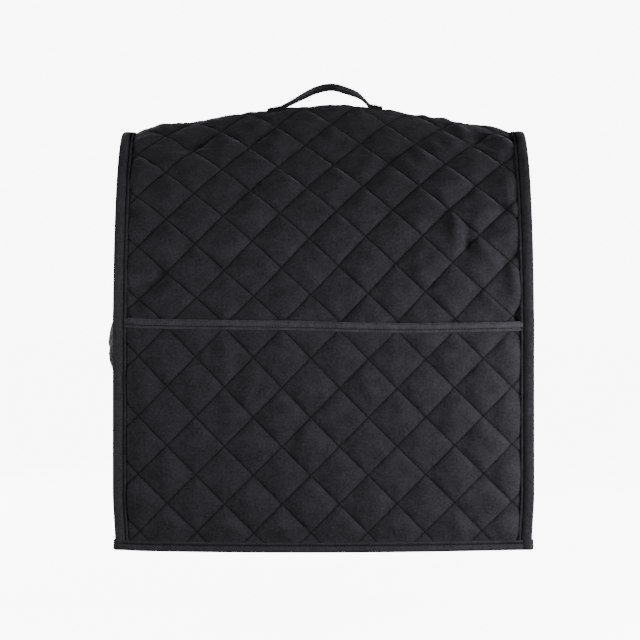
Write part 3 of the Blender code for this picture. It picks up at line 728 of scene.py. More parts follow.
def tape_rise(inwards, leg, along, seed, tilt=0.0):
    """How far a tape's leg stands up, a distance in from its lip, at a place along the tape."""
    lip = LIP_RISE * np.exp(-(((inwards - 0.0005) / 0.0008) ** 2)) + tilt * inwards / leg
    roll = np.sin(math.pi * np.clip((inwards - LIP) / (leg - LIP), 0.0, 1.0)) ** 0.8
    press = STITCH_PRESS * np.exp(-(((inwards - LIP) / 0.0007) ** 2))
    loose = soft_noise(along, 2.0 * inwards, 0.0055, seed) * 0.00016
    wander = soft_noise(along, inwards, 0.024, seed + 1) * 0.00022
    uneven = (loose + wander) * np.minimum(1.0, inwards / leg + 0.3)
    return lip + ROLL_RISE * roll - press + uneven


def bend(start, corner, end, radius, count):
    """Points of a rounded corner on the way from start over corner to end."""
    start, corner, end = (np.asarray(point, float) for point in (start, corner, end))
    before = (start - corner) / np.linalg.norm(start - corner)
    after = (end - corner) / np.linalg.norm(end - corner)
    centre = corner + radius * (before + after)
    points = []
    for share in np.linspace(0.0, math.pi / 2.0, count):
        points.append(centre - radius * (after * math.cos(share) + before * math.sin(share)))
    return points


def folded_path(leg, outer, back, radius, tail, count=5, skip=0, raised=3):
    """A tape's fold as places in from its lip and out from the cloth, and how many may rise."""
    columns = np.concatenate([NEAR_LIP, np.linspace(0.0055, leg - radius, 6)[:-1]])
    front = [(place, outer) for place in columns]
    path = front + bend(front[-1], (leg, outer), (leg, back), radius, count)
    path += bend((leg, outer), (leg, back), (tail[-1], back), radius, count)[skip:]
    path += [(place, back) for place in tail]
    return np.array(path), len(front) + raised


def lengths(rows, axis):
    """Distances along rows of points one way, as the mean of the other way."""
    steps = np.linalg.norm(np.diff(rows, axis=axis), axis=2).mean(axis=1 - axis)
    return np.concatenate([[0.0], np.cumsum(steps)])


def tape_sheet(name, rows, closed=False, dark=1.0, thickness=TAPE):
    """A sheet through rows of points along a tape, with its thickness and its flat places."""
    count, width = rows.shape[:2]
    along, aside = lengths(rows, 0), lengths(rows, 1)
    faces, places = [], []
    for k in range(count if closed else count - 1):
        following = (k + 1) % count
        far = along[following] if following else along[k] + along[1]
        for j in range(width - 1):
            here, there = k * width + j, following * width + j
            faces.append((here, here + 1, there + 1, there))
            places += [(aside[j], along[k]), (aside[j + 1], along[k])]
            places += [(aside[j + 1], far), (aside[j], far)]
    mesh = bpy.data.meshes.new(name)
    mesh.from_pydata(rows.reshape(-1, 3).tolist(), [], faces)
    # Painted shade along the groove of stitches, as strong as dark says: full on the seams, less on
    # the hem, faint on the pocket's tape, none on the strap.
    groove_shade = dark * np.exp(-(((aside - LIP) / GROOVE_SHADE_REACH) ** 2))
    mark_mesh(mesh, places, np.tile(groove_shade, count))
    piece = add_piece(name, mesh)
    bpy.context.view_layer.objects.active = piece
    thick = piece.modifiers.new("thickness", "SOLIDIFY")
    thick.thickness = thickness
    thick.offset = 0.0
    thick.use_even_offset = True
    bpy.ops.object.modifier_apply(modifier=thick.name)
    size = round(aside[-1], 4), "x", round(along[-1], 4), "m"
    print(name, triangles(piece), "triangles, cut", *size)
    return piece

# %% [markdown]
# A seam tape runs up the front beside the pocket, steps over the end of the pocket's own tape,
# goes on over the arch and down the back. Seen from the front it is the cover's outer edge. Near
# the ridge it lies flatter. The rows of all the tapes are kept, because the thread follows them.

# %% The tapes on the two side seams
SEAM_LIP = 0.1812
TAPE_ROLL = 0.0011
SEAM_BACK = -(1.5 * CLOTH + 2.0 * GAP) - TAPE / 2.0
SEAM_END = 0.0012
RIDGE_CALM = 0.4


def seam_tape_lift(climb):
    """The underside of a seam tape's outer leg: it steps over the pocket's edge."""
    bare = CLOTH / 2.0 + GAP
    low = CLOTH + GAP + bare
    high = low + TAPE + GAP
    climbs = (0.0, POCKET_RAMP_LOW, POCKET_RAMP_HIGH, POCKET_TOP, POCKET_TOP + 0.010)
    return float(np.interp(climb, climbs, (low, low, high, high, bare)))


def seam_tape_rows(side_of_cover):
    """Rows of points along a seam tape, each from its lip over the edge to its back."""
    leg = HALF_WIDTH - TAPE / 2.0 - SEAM_LIP
    back = SEAM_TAPE_BACK - SEAM_LIP
    rows = []
    for climb in np.linspace(SEAM_END, 2.0 * RIDGE_CLIMB - SEAM_END, 520):
        outer = seam_tape_lift(climb) + TAPE / 2.0
        path, raised = folded_path(leg, outer, SEAM_BACK, TAPE_ROLL, (back + 0.0018, back))
        drawn = drawn_tight(climb)
        tilt = TAPE_TILTS[side_of_cover] * (1.0 - drawn)
        rise = tape_rise(path[:raised, 0], leg, climb, 51 + side_of_cover, tilt)
        path[:raised, 1] += rise * (1.0 - RIDGE_CALM * drawn)
        rows.append(on_strip(side_of_cover * (SEAM_LIP + path[:, 0]), climb, path[:, 1]))
    return settled(np.array(rows))


tape_rows = {}
seam_tapes = {}
for word, side_of_cover in (("left", -1), ("right", 1)):
    rows = tape_rows["seam_" + word] = seam_tape_rows(side_of_cover)
    seam_tapes[word] = tape_sheet("seam_tape_" + word, rows)

# %% [markdown]
# The pocket's tape is folded over its top edge, between the two seam tapes. A bevelled box would
# be too even for it, so it is a folded sheet like the others, whose roll and lip catch the light
# differently from place to place.

# %% The tape on the pocket
def pocket_tape_rows():
    """Rows of points along the pocket's tape, each from its front lip over the top to its back."""
    off = CLOTH / 2.0 + GAP + TAPE / 2.0
    low = POCKET_TOP - POCKET_BAND
    leg = POCKET_TOP - TAPE / 2.0 - low
    end = SEAM_TAPE_INNER - 0.0008
    rows = []
    for across in np.linspace(-end, end, 210):
        wall = -HALF_DEPTH - float(pocket_lift(across, POCKET_TOP))
        path, raised = folded_path(leg, off, -off, off - 0.0001, (0.004, 0.0012), 6, skip=1)
        path[:raised, 1] += tape_rise(path[:raised, 0], leg, across, 61)
        rows.append([(across, wall - out, low + up) for up, out in path])
    return settled(np.array(rows))


tape_rows["pocket"] = pocket_tape_rows()
pocket_tape = tape_sheet("pocket_tape", tape_rows["pocket"], dark=0.15)

# %% [markdown]
# The hem tape goes once round the bottom edge. It steps out at the corners, where it wraps over
# the ends of the seam tapes. A curve with a profile would twist there, so its path is a list of
# places in plan, inner and outer, for one corner at the front and one at the back, which are
# mirrored to the other side.

# %% The tape round the hem
HEM_TOP = 0.0092
HEM_ROLL = 0.0014
HEM_CALM = 0.6


def hem_places():
    """Pairs of inner and outer points in plan, once round the hem, anticlockwise from above."""
    leg = CLOTH / 2.0 + GAP + TAPE
    inner_front, inner_side = HALF_DEPTH - leg, END_PLANE - leg
    outer_side = END_PLANE + leg
    bulge = TAPE + 2.0 * GAP
    past_seam = HALF_WIDTH + TAPE + 0.0007
    quarter = {}
    for side in (-1, 1):
        outer = HALF_DEPTH + leg + (CLOTH + GAP if side < 0 else 0.0)
        over = outer + bulge
        quarter[side] = (
            ((0.170, inner_front), (0.170, outer)),
            ((0.179, inner_front), (0.180, over)),
            ((inner_side, inner_front), (0.1915, over)),
            ((inner_side, inner_front - 0.0006), (past_seam - 0.0004, over - 0.0010)),
            ((inner_side, inner_front - 0.0030), (past_seam, HALF_DEPTH - 0.0050)),
            ((inner_side, 0.1080), (past_seam - 0.0030, 0.1070)),
            ((inner_side, 0.0950), (outer_side, 0.0940)),
        )
    flat = np.linspace(-0.15, 0.15, 13)
    sides = np.linspace(-0.070, 0.070, 7)
    front, back = quarter[-1][0][1][1], quarter[1][0][1][1]
    places = [((x, -inner_front), (x, -front)) for x in flat]
    places += [((ix, -iy), (ox, -oy)) for (ix, iy), (ox, oy) in quarter[-1]]
    places += [((inner_side, y), (outer_side, y)) for y in sides]
    places += list(reversed(quarter[1]))
    places += [((x, inner_front), (x, back)) for x in -flat]
    places += [((-ix, iy), (-ox, oy)) for (ix, iy), (ox, oy) in quarter[1]]
    places += [((-inner_side, y), (-outer_side, y)) for y in -sides]
    places += [((-ix, -iy), (-ox, -oy)) for (ix, iy), (ox, oy) in reversed(quarter[-1])]
    return places


def hem_tape_rows():
    """Rows of points round the hem, each from the outer lip under the edge to the inner lip."""
    places = np.array(hem_places())
    looped = np.concatenate([places, places[:1]])
    steps = np.linalg.norm(np.diff(looped[:, 1], axis=0), axis=1)
    along = np.concatenate([[0.0], np.cumsum(steps)])
    leg = HEM_TOP - TAPE / 2.0
    tail = (HEM_TOP - 0.0048, HEM_TOP - HEM_BAND)
    rows = []
    for way in np.linspace(0.0, along[-1], 640, endpoint=False):
        inner, outer = (
            np.array([np.interp(way, along, looped[:, which, axis]) for axis in (0, 1)])
            for which in (0, 1)
        )
        wide = np.linalg.norm(outer - inner)
        outwards = (outer - inner) / wide
        path, raised = folded_path(leg, wide - TAPE / 2.0, TAPE / 2.0, HEM_ROLL, tail, raised=2)
        path[:raised, 1] += HEM_CALM * tape_rise(path[:raised, 0], HEM_TOP, way, 71)
        rows.append([(*(inner + outwards * out), HEM_TOP - up) for up, out in path])
    return settled(np.array(rows))


tape_rows["hem"] = hem_tape_rows()
hem_tape = tape_sheet("hem_tape", tape_rows["hem"], closed=True, dark=0.7)

# %% [markdown]
# The handle is a flat cotton strap. Its two ends lie sewn on the ridge, and its middle stands up
# in a loop. A plane bent by a modifier would give an even arc, and this loop is slack and
# lopsided, so a table gives it from left to right: the place across, the height above the
# shoulder, how far the strap rolls over sideways, and how much it bends with the ridge under it.

# %% The strap handle
HANDLE = (
    (-0.0540, 0.2041, 0.0, 1.0),
    (-0.0430, 0.2059, 3.0, 1.0),
    (-0.0340, 0.2102, 11.0, 0.5),
    (-0.0200, 0.2165, 18.0, 0.0),
    (-0.0068, 0.2227, 20.0, 0.0),
    (0.0080, 0.2255, 20.0, 0.0),
    (0.0218, 0.2222, 20.0, 0.0),
    (0.0334, 0.2178, 17.0, 0.0),
    (0.0402, 0.2130, 10.0, 0.3),
    (0.0450, 0.2085, 4.0, 0.8),
    (0.0500, 0.2069, 0.0, 1.0),
    (0.0570, 0.2060, 0.0, 1.0),
)
STRAP_WIDTH = 0.022
STRAP_THICK = 0.0020
numbered = [(number, *row) for number, row in enumerate(HANDLE)]


def strap_place(number, share, lift):
    """A point of the strap: number along the table, share across (-1 to 1), lift off its middle."""

    def read(column, place):
        return float(curve_through(numbered, column, place))

    across, height, roll, bent = (read(column, number) for column in (1, 2, 3, 4))
    before, after = max(number - 0.1, 0.0), min(number + 0.1, len(HANDLE) - 1.0)
    slope = math.atan2(read(2, after) - read(2, before), read(1, after) - read(1, before))
    half = STRAP_WIDTH / 2.0
    middle = strip_middle(np.array(across), np.array(RIDGE_CLIMB))
    under = strip_middle(np.array(across), np.array(RIDGE_CLIMB + share * half))
    bent = min(max(bent, 0.0), 1.0)
    drop = (middle[2] - under[2]) * bent
    depth = share * half + (under[1] - share * half) * bent
    level = WALL_HEIGHT + height - drop + depth * math.sin(math.radians(roll))
    depth *= math.cos(math.radians(roll))
    return np.array([across - lift * math.sin(slope), depth, level + lift * math.cos(slope)])


def build_strap():
    """The strap as a sheet of two layers with a soft, rounded edge."""
    shares = np.sin(np.linspace(-math.pi / 2.0, math.pi / 2.0, 15))
    rows = []
    for number in np.linspace(0.0, len(HANDLE) - 1.0, 100):
        row = []
        for share in shares:
            ripple = 0.00012 * math.sin(41.0 * share) * (1.0 - share * share)
            row.append(strap_place(number, share * 0.985, ripple))
        rows.append(row)
    return settled(np.array(rows))


strap = tape_sheet("strap", build_strap(), dark=0.0, thickness=STRAP_THICK)

# %% [markdown]
# Thread is what holds the cover together, so it is modelled too. A painted dashed line would stay
# flat under the light, and real stitches sink the cloth and stand up from it. One stitch is a
# short bead with thin ends that sink into the cloth. It has ten faces, because thousands of it
# are needed. Each copy is set between two needle holes, along the line and standing up from the
# cloth.

# %% One stitch, many times
RINGS = ((0.0, 0.35, -0.30), (0.5, 1.0, 0.45), (1.0, 0.35, -0.30))


def stitch_mesh(name, starts, ends, ups, thick):
    """One mesh of stitches from start to end, each bulging towards its up direction."""
    along = ends - starts
    side = np.cross(along, ups)
    side /= np.linalg.norm(side, axis=1, keepdims=True)
    corners = []
    for share, wide, lift in RINGS:
        middle = starts + share * along + lift * thick * ups
        for turn in (0.25, 0.75, 1.25, 1.75):
            over = math.cos(math.pi * turn) * wide * thick * 0.6
            up = math.sin(math.pi * turn) * wide * thick * 0.5
            corners.append(middle + over * side + up * ups)
    points = np.stack(corners, axis=1).reshape(-1, 3)
    pattern = [(0, 1, 2, 3), (11, 10, 9, 8)]
    for ring in (0, 4):
        for k in range(4):
            following = (k + 1) % 4
            pattern.append((ring + k, ring + 4 + k, ring + 4 + following, ring + following))
    pattern = np.array(pattern)
    faces = (np.arange(len(starts))[:, None, None] * 12 + pattern[None]).reshape(-1, 4)
    mesh = bpy.data.meshes.new(name)
    mesh.from_pydata(points.tolist(), [], faces.tolist())
    piece = add_piece(name, mesh)
    print(name, len(starts), "stitches,", triangles(piece), "triangles")
    return piece


def along_row(points, ups, pitch, length):
    """Starts, ends and up directions of stitches along a row of points."""
    way = np.concatenate([[0.0], np.cumsum(np.linalg.norm(np.diff(points, axis=0), axis=1))])
    starts = np.arange(0.5 * pitch, way[-1] - length, pitch)

    def read(values, places):
        return np.stack([np.interp(places, way, values[:, axis]) for axis in range(3)], axis=1)

    return read(points, starts), read(points, starts + length), read(ups, starts + length / 2.0)


def tape_stitch_line(rows, inwards):
    """The outer surface of a tape along a line, a distance in from its lip."""
    aside = np.cumsum(np.linalg.norm(np.diff(rows, axis=1), axis=2), axis=1)
    column = int(np.argmax(aside[0] > inwards))
    before = aside[0][column - 1] if column else 0.0
    share = (inwards - before) / (aside[0][column] - before)
    line = rows[:, column] * (1.0 - share) + rows[:, column + 1] * share
    up = np.cross(rows[:, column + 1] - rows[:, column], np.gradient(line, axis=0))
    up /= np.linalg.norm(up, axis=1, keepdims=True)
    middle = np.array([0.0, 0.0, -0.2])
    up *= np.sign(np.sum(up * (line - middle), axis=1))[:, None]
    return line + TAPE / 2.0 * up, up


# The tapes' stitches are thick black beads: they are the thread, and their size also paints the
# shade of the needle holes.
TAPE_PITCH = 0.00285
TAPE_STITCH = 0.00145
TAPE_THREAD_WITH_HOLE_SHADE = 0.00115

tape_stitches_with_hole_shade = {}
for word, rows in tape_rows.items():
    line, up = tape_stitch_line(rows, LIP)
    parts = along_row(line, up, TAPE_PITCH, TAPE_STITCH)
    tape_stitches_with_hole_shade[word] = stitch_mesh("thread_" + word, *parts, TAPE_THREAD_WITH_HOLE_SHADE)

# %% [markdown]
# The quilting's thread runs along both families of lines. A row of stitches is laid on each line,
# wherever the cloth shows: not under the tapes, the pocket or the sewn ends of the handle. The
# stitches ask the panel's own shape where it lies, so they follow every pillow and fold.

# %% Quilting thread
QUILT_PITCH = 0.0031
QUILT_STITCH = 0.0024
QUILT_THREAD = 0.00048


def quilt_stitches(name, quilt, outline, shape, shows):
    """Stitches along all the quilting's lines where shows(across, climb) is true."""
    corners = np.array([quilt_place(quilt, *point) for point in outline])
    low, high = np.floor(corners.min(axis=0)), np.ceil(corners.max(axis=0))
    starts, ends = [], []
    for family in (0, 1):
        for number in np.arange(low[family], high[family] + 1):
            places = np.arange(low[1 - family], high[1 - family], QUILT_PITCH / QUILT_SIDE)
            for found, shift in ((starts, 0.0), (ends, QUILT_STITCH / QUILT_SIDE)):
                along = places + shift
                fixed = np.full_like(along, number)
                pair = (along, fixed) if family else (fixed, along)
                found.append(np.stack(from_quilt(quilt, *pair), axis=1))
    starts, ends = np.concatenate(starts), np.concatenate(ends)
    seen = shows(starts[:, 0], starts[:, 1]) & shows(ends[:, 0], ends[:, 1])
    starts, ends = starts[seen], ends[seen]
    first, last = shape(1, *starts.T), shape(1, *ends.T)
    middle = (starts + ends) / 2.0
    step = 0.0006
    over, up = (
        shape(1, *(middle + way).T) - shape(1, *(middle - way).T)
        for way in ((step, 0.0), (0.0, step))
    )
    ups = np.cross(over, up)
    ups /= np.linalg.norm(ups, axis=1, keepdims=True)
    return stitch_mesh(name, first, last, ups, QUILT_THREAD)


def strip_shows(across, climb):
    """Where the strip's outer face is bare."""
    inside = np.abs(across) < SEAM_LIP - 0.0012
    inside &= (climb > POCKET_TOP - 0.006) & (climb < 2.0 * RIDGE_CLIMB - HEM_TOP - 0.001)
    return inside & (tab_press(across, climb) > 0.5)


def pocket_shows(across, climb):
    """Where the pocket's outer face is bare."""
    inside = np.abs(across) < SEAM_LIP - 0.0012
    return inside & (climb > HEM_TOP + 0.001) & (climb < POCKET_TOP - POCKET_BAND - 0.001)


def end_shows(side_of_cover):
    """The function that says where an end panel's outer face is bare."""
    line = fold_line(side_of_cover, 80)

    def shows(depth, height):
        _, far, past = beside_line(line, np.stack([depth, height], axis=1))
        return (past < 0.0) & (far > 0.0035) & (height > HEM_TOP + 0.001)

    return shows


quilt_threads = {}
for word, quilt, outline, shape, shows in (
    ("body", FRONT_QUILT, strip_outline, strip_shape, strip_shows),
    ("pocket_quilting", POCKET_QUILT, pocket_outline, pocket_shape, pocket_shows),
    ("end_left", END_QUILT, end_outline(-1), end_shape(-1), end_shows(-1)),
    ("end_right", END_QUILT, end_outline(1), end_shape(1), end_shows(1)),
):
    quilt_threads[word] = quilt_stitches("thread_" + word, quilt, outline, shape, shows)

# %% [markdown]
# The strap has a row of stitches near each edge, and each sewn end has a box of stitches with a
# cross that holds it to the ridge. They use the strap's own shape in the same way.

# %% Thread on the strap
STRAP_ROW = 0.80


def strap_line(numbers, shares):
    """Points on the strap's upper face and their up directions."""
    lower, upper = (
        settled(np.array([strap_place(n, s, lift) for n, s in zip(numbers, shares)]))
        for lift in (STRAP_THICK / 2.0, STRAP_THICK / 2.0 + 0.001)
    )
    return lower, (upper - lower) / 0.001


strap_rows = []
last_number = len(HANDLE) - 1.0
numbers = np.linspace(0.08, last_number - 0.08, 160)
for share in (-STRAP_ROW, STRAP_ROW):
    strap_rows.append(strap_line(numbers, np.full_like(numbers, share)))
for low, high in ((0.25, 1.05), (last_number - 1.6, last_number - 0.2)):
    crosswise = np.linspace(-STRAP_ROW, STRAP_ROW, 30)
    for number in (low, high):
        strap_rows.append(strap_line(np.full(30, number), crosswise))
    for flip in (1.0, -1.0):
        strap_rows.append(strap_line(np.linspace(low, high, 30), flip * crosswise))
# The strap's stitches are the same thick beads, with the same painted needle-hole shade.
parts = [along_row(points, ups, TAPE_PITCH, TAPE_STITCH) for points, ups in strap_rows]
parts = [np.concatenate(part) for part in zip(*parts)]
strap_thread = stitch_mesh("thread_strap", *parts, TAPE_THREAD_WITH_HOLE_SHADE)

# %% [markdown]
# Colours are written as they look on screen and turned into linear light, which shaders work in.
# One helper adds a node with its settings and whatever feeds its sockets. That keeps a finish
# readable from top to bottom as code, in the order in which its nodes would be wired in the editor.

# %% Colour and node helpers
SHEEN_TONE = "b9bac4"


def linear(code):
    """An sRGB hex code as a linear colour."""
    parts = (int(code[k : k + 2], 16) / 255.0 for k in (0, 2, 4))
    bright = (p / 12.92 if p <= 0.04045 else ((p + 0.055) / 1.055) ** 2.4 for p in parts)
    return (*bright, 1.0)


def add_node(tree, kind, sockets=None, **settings):
    """Adds a node. Each socket gets a fixed value, or a link where an output is given."""
    node = tree.nodes.new("ShaderNode" + kind)
    for name, value in settings.items():
        setattr(node, name, value)
    for name, value in (sockets or {}).items():
        if isinstance(value, bpy.types.NodeSocket):
            tree.links.new(value, node.inputs[name])
        else:
            node.inputs[name].default_value = value
    return node


def new_finish(name, roughness, sheen, specular=0.25, sheen_roughness=0.42):
    """A new finish: its tree and its shader, with the values that are the same all over."""
    finish = bpy.data.materials.new(name)
    finish.use_nodes = True
    shader = finish.node_tree.nodes["Principled BSDF"]
    for socket, value in (
        ("Roughness", roughness),
        ("Specular IOR Level", specular),
        ("Sheen Weight", sheen),
        ("Sheen Roughness", sheen_roughness),
        ("Sheen Tint", linear(SHEEN_TONE)),
    ):
        shader.inputs[socket].default_value = value
    return finish, finish.node_tree, shader


print("Tone of the sheen in linear light:", [round(value, 4) for value in linear(SHEEN_TONE)])

# %% [markdown]
# The quilted cloth is a matt, closely woven cotton, dyed charcoal. It drinks nearly all light, so
# its form shows by a faint sheen of loose fibres. Its threads are about 0.4 mm apart, too fine
# for the render, so the weave is drawn at 0.9 mm. Two bands of waves across each other make warp
# and weft, fine noise over them makes the grain that shows, and wide noise makes the dye and the
# nap wander. Shade is painted into the colour along the stitch lines, and small level creases
# lie between them.

# %% Quilted cotton, dyed charcoal
WEAVE_STEP = 0.0009
UNEVEN = 1.6
FUZZ_SIZE = 0.0022
NAP_SIZE = 0.016
CREASE_SIZE = 0.0085
CREASE_DEEP = 0.0021
GRAIN_DEEP = 0.0003
STITCH_SHADE = 0.12
WAVE_PERIOD = 2.0 * math.pi / 20.0


def weave(tree, places, step):
    """The height of a plain weave, from 0 to 1, with threads a step apart."""
    sockets = {"Vector": places, "Scale": WAVE_PERIOD / step, "Distortion": UNEVEN}
    sockets.update({"Detail": 1.0, "Detail Scale": 0.6})
    warp, weft = (
        add_node(tree, "TexWave", sockets, wave_type="BANDS", bands_direction=direction)
        for direction in ("X", "Y")
    )
    bands = {0: warp.outputs["Fac"], 1: weft.outputs["Fac"]}
    return add_node(tree, "Math", bands, operation="MULTIPLY").outputs[0]


def cloth_finish(name, dark, light, step, sheen, bump, crumple, roughness=0.92):
    """A woven cloth between two tones, with its grain and small creases as bump."""
    finish, tree, shader = new_finish(name, roughness, sheen)
    places = add_node(tree, "UVMap", uv_map="cloth").outputs["UV"]
    threads = weave(tree, places, step)
    fine = add_node(tree, "Math", {0: threads, 1: 0.5}, operation="MULTIPLY").outputs[0]
    sockets = {"Vector": places, "Scale": 1.0 / FUZZ_SIZE, "Detail": 3.0, "Roughness": 0.7}
    fuzz = add_node(tree, "TexNoise", sockets).outputs["Fac"]
    sockets = {0: fuzz, 1: 1.5, 2: fine}
    grain = add_node(tree, "Math", sockets, operation="MULTIPLY_ADD").outputs[0]
    sockets = {"Vector": places, "Scale": 1.0 / NAP_SIZE, "Detail": 2.0, "Roughness": 0.5}
    nap = add_node(tree, "TexNoise", sockets).outputs["Fac"]
    sockets = {0: nap, 1: 0.8, 2: grain}
    tone = add_node(tree, "Math", sockets, operation="MULTIPLY_ADD").outputs[0]
    sockets = {"Value": tone, "From Min": 0.85, "From Max": 1.75, "To Min": 0.0, "To Max": 1.0}
    share = add_node(tree, "MapRange", sockets).outputs["Result"]
    sockets = {0: share, 6: linear(dark), 7: linear(light)}
    worn = add_node(tree, "Mix", sockets, data_type="RGBA").outputs[2]

    # Painted shade: the colour darkens along the stitch lines, down to STITCH_SHADE of its tone.
    stitch_shade_share = add_node(tree, "Attribute", attribute_name="painted_stitch_shade").outputs["Fac"]
    sockets = {"Value": stitch_shade_share, "From Min": 0.0, "From Max": 1.0, "To Min": 1.0}
    shade = add_node(tree, "MapRange", {**sockets, "To Max": STITCH_SHADE}).outputs["Result"]
    sockets = {0: 1.0, 6: worn, 7: shade}
    colour = add_node(tree, "Mix", sockets, data_type="RGBA", blend_type="MULTIPLY").outputs[2]
    tree.links.new(colour, shader.inputs["Base Color"])

    level = add_node(tree, "Mapping", {"Vector": places, "Scale": (0.6, 1.0, 1.0)})
    sockets = {"Vector": level.outputs["Vector"], "Scale": 1.0 / CREASE_SIZE, "Detail": 2.5}
    sockets.update({"Roughness": 0.55, "Distortion": 0.5})
    creases = add_node(tree, "TexNoise", sockets).outputs["Fac"]
    sockets = {"Height": creases, "Strength": crumple, "Distance": CREASE_DEEP}
    crumpled = add_node(tree, "Bump", sockets).outputs["Normal"]
    sockets = {"Height": grain, "Strength": bump, "Distance": GRAIN_DEEP, "Normal": crumpled}
    tree.links.new(add_node(tree, "Bump", sockets).outputs["Normal"], shader.inputs["Normal"])
    print(name, "is drawn with", round(1000.0 * step, 2), "mm threads")
    return finish


charcoal = cloth_finish("quilted cotton, charcoal", "121114", "353339", WEAVE_STEP, 0.30, 0.5, 0.7)

# %% [markdown]
# The tape is the same cotton woven tighter and a little lighter. The pocket's tape is a lighter
# copy of it, with the extra light on it painted into its colour, so it reads as a pale line
# across the dark panels. The strap is smoother and darker. The thread is black polyester with
# hardly any shine, twisted, which at its size needs no more than a tone.

# %% Tape, strap and thread
TAPE_WEAVE = (0.00075, 0.30, 0.4, 0.3, 0.88)
TWIST_SIZE = 0.0006
tape_cotton = cloth_finish("woven cotton tape, dark grey", "1a191c", "3b3a3f", *TAPE_WEAVE)
pocket_tape_painted_lighter = cloth_finish("woven cotton tape, painted lighter", "212024", "49484e", *TAPE_WEAVE)
strap_cotton = cloth_finish(
    "smooth cotton strap, near black", "0d0d0e", "212124", 0.0007, 0.12, 0.3, 0.2, 0.85
)
thread, thread_tree, thread_shader = new_finish(
    "twisted polyester thread, black", 0.75, 0.02, specular=0.06, sheen_roughness=0.4
)
twist_places = add_node(thread_tree, "TexCoord").outputs["Object"]
twist_sockets = {"Vector": twist_places, "Scale": 1.0 / TWIST_SIZE, "Detail": 1.0}
twist = add_node(thread_tree, "TexNoise", twist_sockets).outputs["Fac"]
twist_tones = {0: twist, 6: linear("050506"), 7: linear("0e0e10")}
twisted = add_node(thread_tree, "Mix", twist_tones, data_type="RGBA").outputs[2]
thread_tree.links.new(twisted, thread_shader.inputs["Base Color"])

finishes = {"quilted_cloth": charcoal, "binding_tape": tape_cotton, "strap_cloth": strap_cotton}
threads = {
    "body_panel": [quilt_threads["body"]],
    "pocket_panel": [quilt_threads["pocket_quilting"]],
    "end_panel_left": [quilt_threads["end_left"]],
    "end_panel_right": [quilt_threads["end_right"]],
    "pocket_binding": [tape_stitches_with_hole_shade["pocket"]],
    "seam_binding_left": [tape_stitches_with_hole_shade["seam_left"]],
    "seam_binding_right": [tape_stitches_with_hole_shade["seam_right"]],
    "hem_binding": [tape_stitches_with_hole_shade["hem"]],
    "handle_strap": [strap_thread],
}
print("Finishes:", [finish.name for finish in (*finishes.values(), pocket_tape_painted_lighter, thread)])

# %% [markdown]
# Every piece moves with the cover, stands for its solid in the frame, and takes its finish from
# one of the record's slots; the pocket's tape takes a lighter copy of its slot's finish, with
# painted light.

# %% Tell the frame what each piece is
def declare(node, piece, slot):
    # The pocket's tape takes the lighter copy of the tape finish, with painted light, instead of
    # its slot's finish.
    piece.data.materials.append(pocket_tape_painted_lighter if piece is pocket_tape else finishes[slot])
    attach(piece, "root")
    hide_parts(node)
    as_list(threads[node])
    for row in threads[node]:
        row.data.materials.append(thread)
        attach(row, "root")


declare("body_panel", quilted_body, "quilted_cloth")
declare(
    "pocket_panel", quilted_pocket, "quilted_cloth"
)
for word in ("left", "right"):
    end, tape = quilted_ends[word], seam_tapes[word]
    declare("end_panel_" + word, end, "quilted_cloth")
    declare("seam_binding_" + word, tape, "binding_tape")
declare("pocket_binding", pocket_tape, "binding_tape")
declare("hem_binding", hem_tape, "binding_tape")
declare("handle_strap", strap, "strap_cloth")

# %% [markdown]
# The studio is white and plain: a pale floor a little under the hem, and a pale world. One bright
# world would light black cloth from all sides and flatten its pillows, so floor and world look
# bright to the camera but light the cloth hardly at all. Four soft lights do that: one near on
# the right in front, one further off on the left in front, and two behind for the cover's back.

# %% Floor, lights and world
FLOOR_HEIGHT = -0.476
FLOOR_GLOW = 8.5
AMBIENT = 0.06
BACKDROP = 9.0
FRONT_RIGHT = (0.14, -0.05, -0.22)
FRONT_LEFT = (-0.10, -0.05, -0.22)
BACK = (0.0, 0.10, -0.20)
LIGHTS = (
    ("right softbox", (0.68, -0.42, -0.26), FRONT_RIGHT, (0.26, 0.36), 9.8),
    ("left softbox", (-1.15, -0.88, -0.10), FRONT_LEFT, (0.45, 0.5), 12.2),
    ("back left softbox", (-1.30, 1.50, 0.15), BACK, (0.6, 0.8), 34.0),
    ("back right softbox", (1.45, 1.25, 0.15), BACK, (0.6, 0.8), 20.0),
)

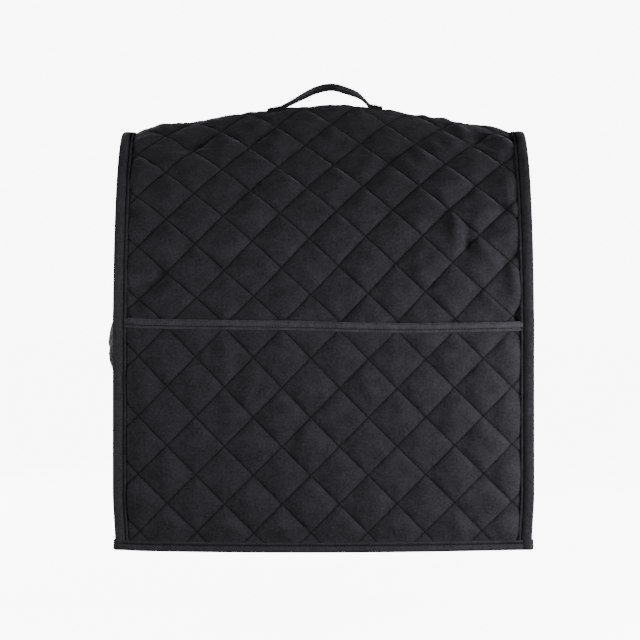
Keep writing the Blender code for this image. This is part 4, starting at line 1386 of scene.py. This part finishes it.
bpy.ops.object.select_all(action="DESELECT")
bpy.ops.mesh.primitive_plane_add(size=60.0, location=(0.0, 0.0, FLOOR_HEIGHT))
floor = bpy.context.object
floor.name = "floor"
paper, paper_tree, paper_shader = new_finish("pale paper backdrop", 0.9, 0.0)
mottle = add_node(paper_tree, "TexNoise", {"Scale": 3.0, "Detail": 2.0}).outputs["Fac"]
paper_tones = {0: mottle, 6: linear("f2f2f3"), 7: linear("fafafa")}
mottled = add_node(paper_tree, "Mix", paper_tones, data_type="RGBA").outputs[2]
paper_tree.links.new(mottled, paper_shader.inputs["Base Color"])
paper_shader.inputs["Emission Color"].default_value = linear("ffffff")
paper_shader.inputs["Emission Strength"].default_value = FLOOR_GLOW
floor.data.materials.append(paper)
floor.visible_diffuse = False
floor.visible_glossy = False

for name, place, target, size, power in LIGHTS:
    lamp = bpy.data.lights.new(name, "AREA")
    lamp.shape = "RECTANGLE"
    lamp.size, lamp.size_y = size
    lamp.energy = power
    light = bpy.data.objects.new(name, lamp)
    bpy.context.scene.collection.objects.link(light)
    light.location = place
    way = Vector(target) - Vector(place)
    light.rotation_euler = way.to_track_quat("-Z", "Y").to_euler()
    print(name, power, "W")

world = bpy.context.scene.world or bpy.data.worlds.new("studio")
bpy.context.scene.world = world
world.use_nodes = True
sky = world.node_tree
seen = add_node(sky, "LightPath").outputs["Is Camera Ray"]
background = sky.nodes["Background"]
background.inputs["Color"].default_value = linear("fbfbfd")
sockets = {"Value": seen, "From Min": 0.0, "From Max": 1.0, "To Min": AMBIENT, "To Max": BACKDROP}
strength = add_node(sky, "MapRange", sockets).outputs["Result"]
sky.links.new(strength, background.inputs["Strength"])

# %% [markdown]
# The photograph was taken level with the pocket's upper edge, straight on, from a good distance.
# So the camera stands 2.2 m away with a long lens, which keeps both side seams nearly upright.

# %% Camera
CAMERA_AWAY = 2.2
FRAME_WIDTH = 0.588
lens = bpy.data.cameras.new("camera")
lens.sensor_width = 36.0
lens.lens = 36.0 * CAMERA_AWAY / FRAME_WIDTH
camera = bpy.data.objects.new("camera", lens)
bpy.context.scene.collection.objects.link(camera)
camera.location = (-0.0032, -HALF_DEPTH - CAMERA_AWAY, -0.2044)
camera.rotation_euler = (math.pi / 2.0, 0.0, 0.0)
bpy.context.scene.camera = camera
print("Lens", round(lens.lens, 1), "mm")

# %% [markdown]

# %% Finish
bpy.context.view_layer.update()
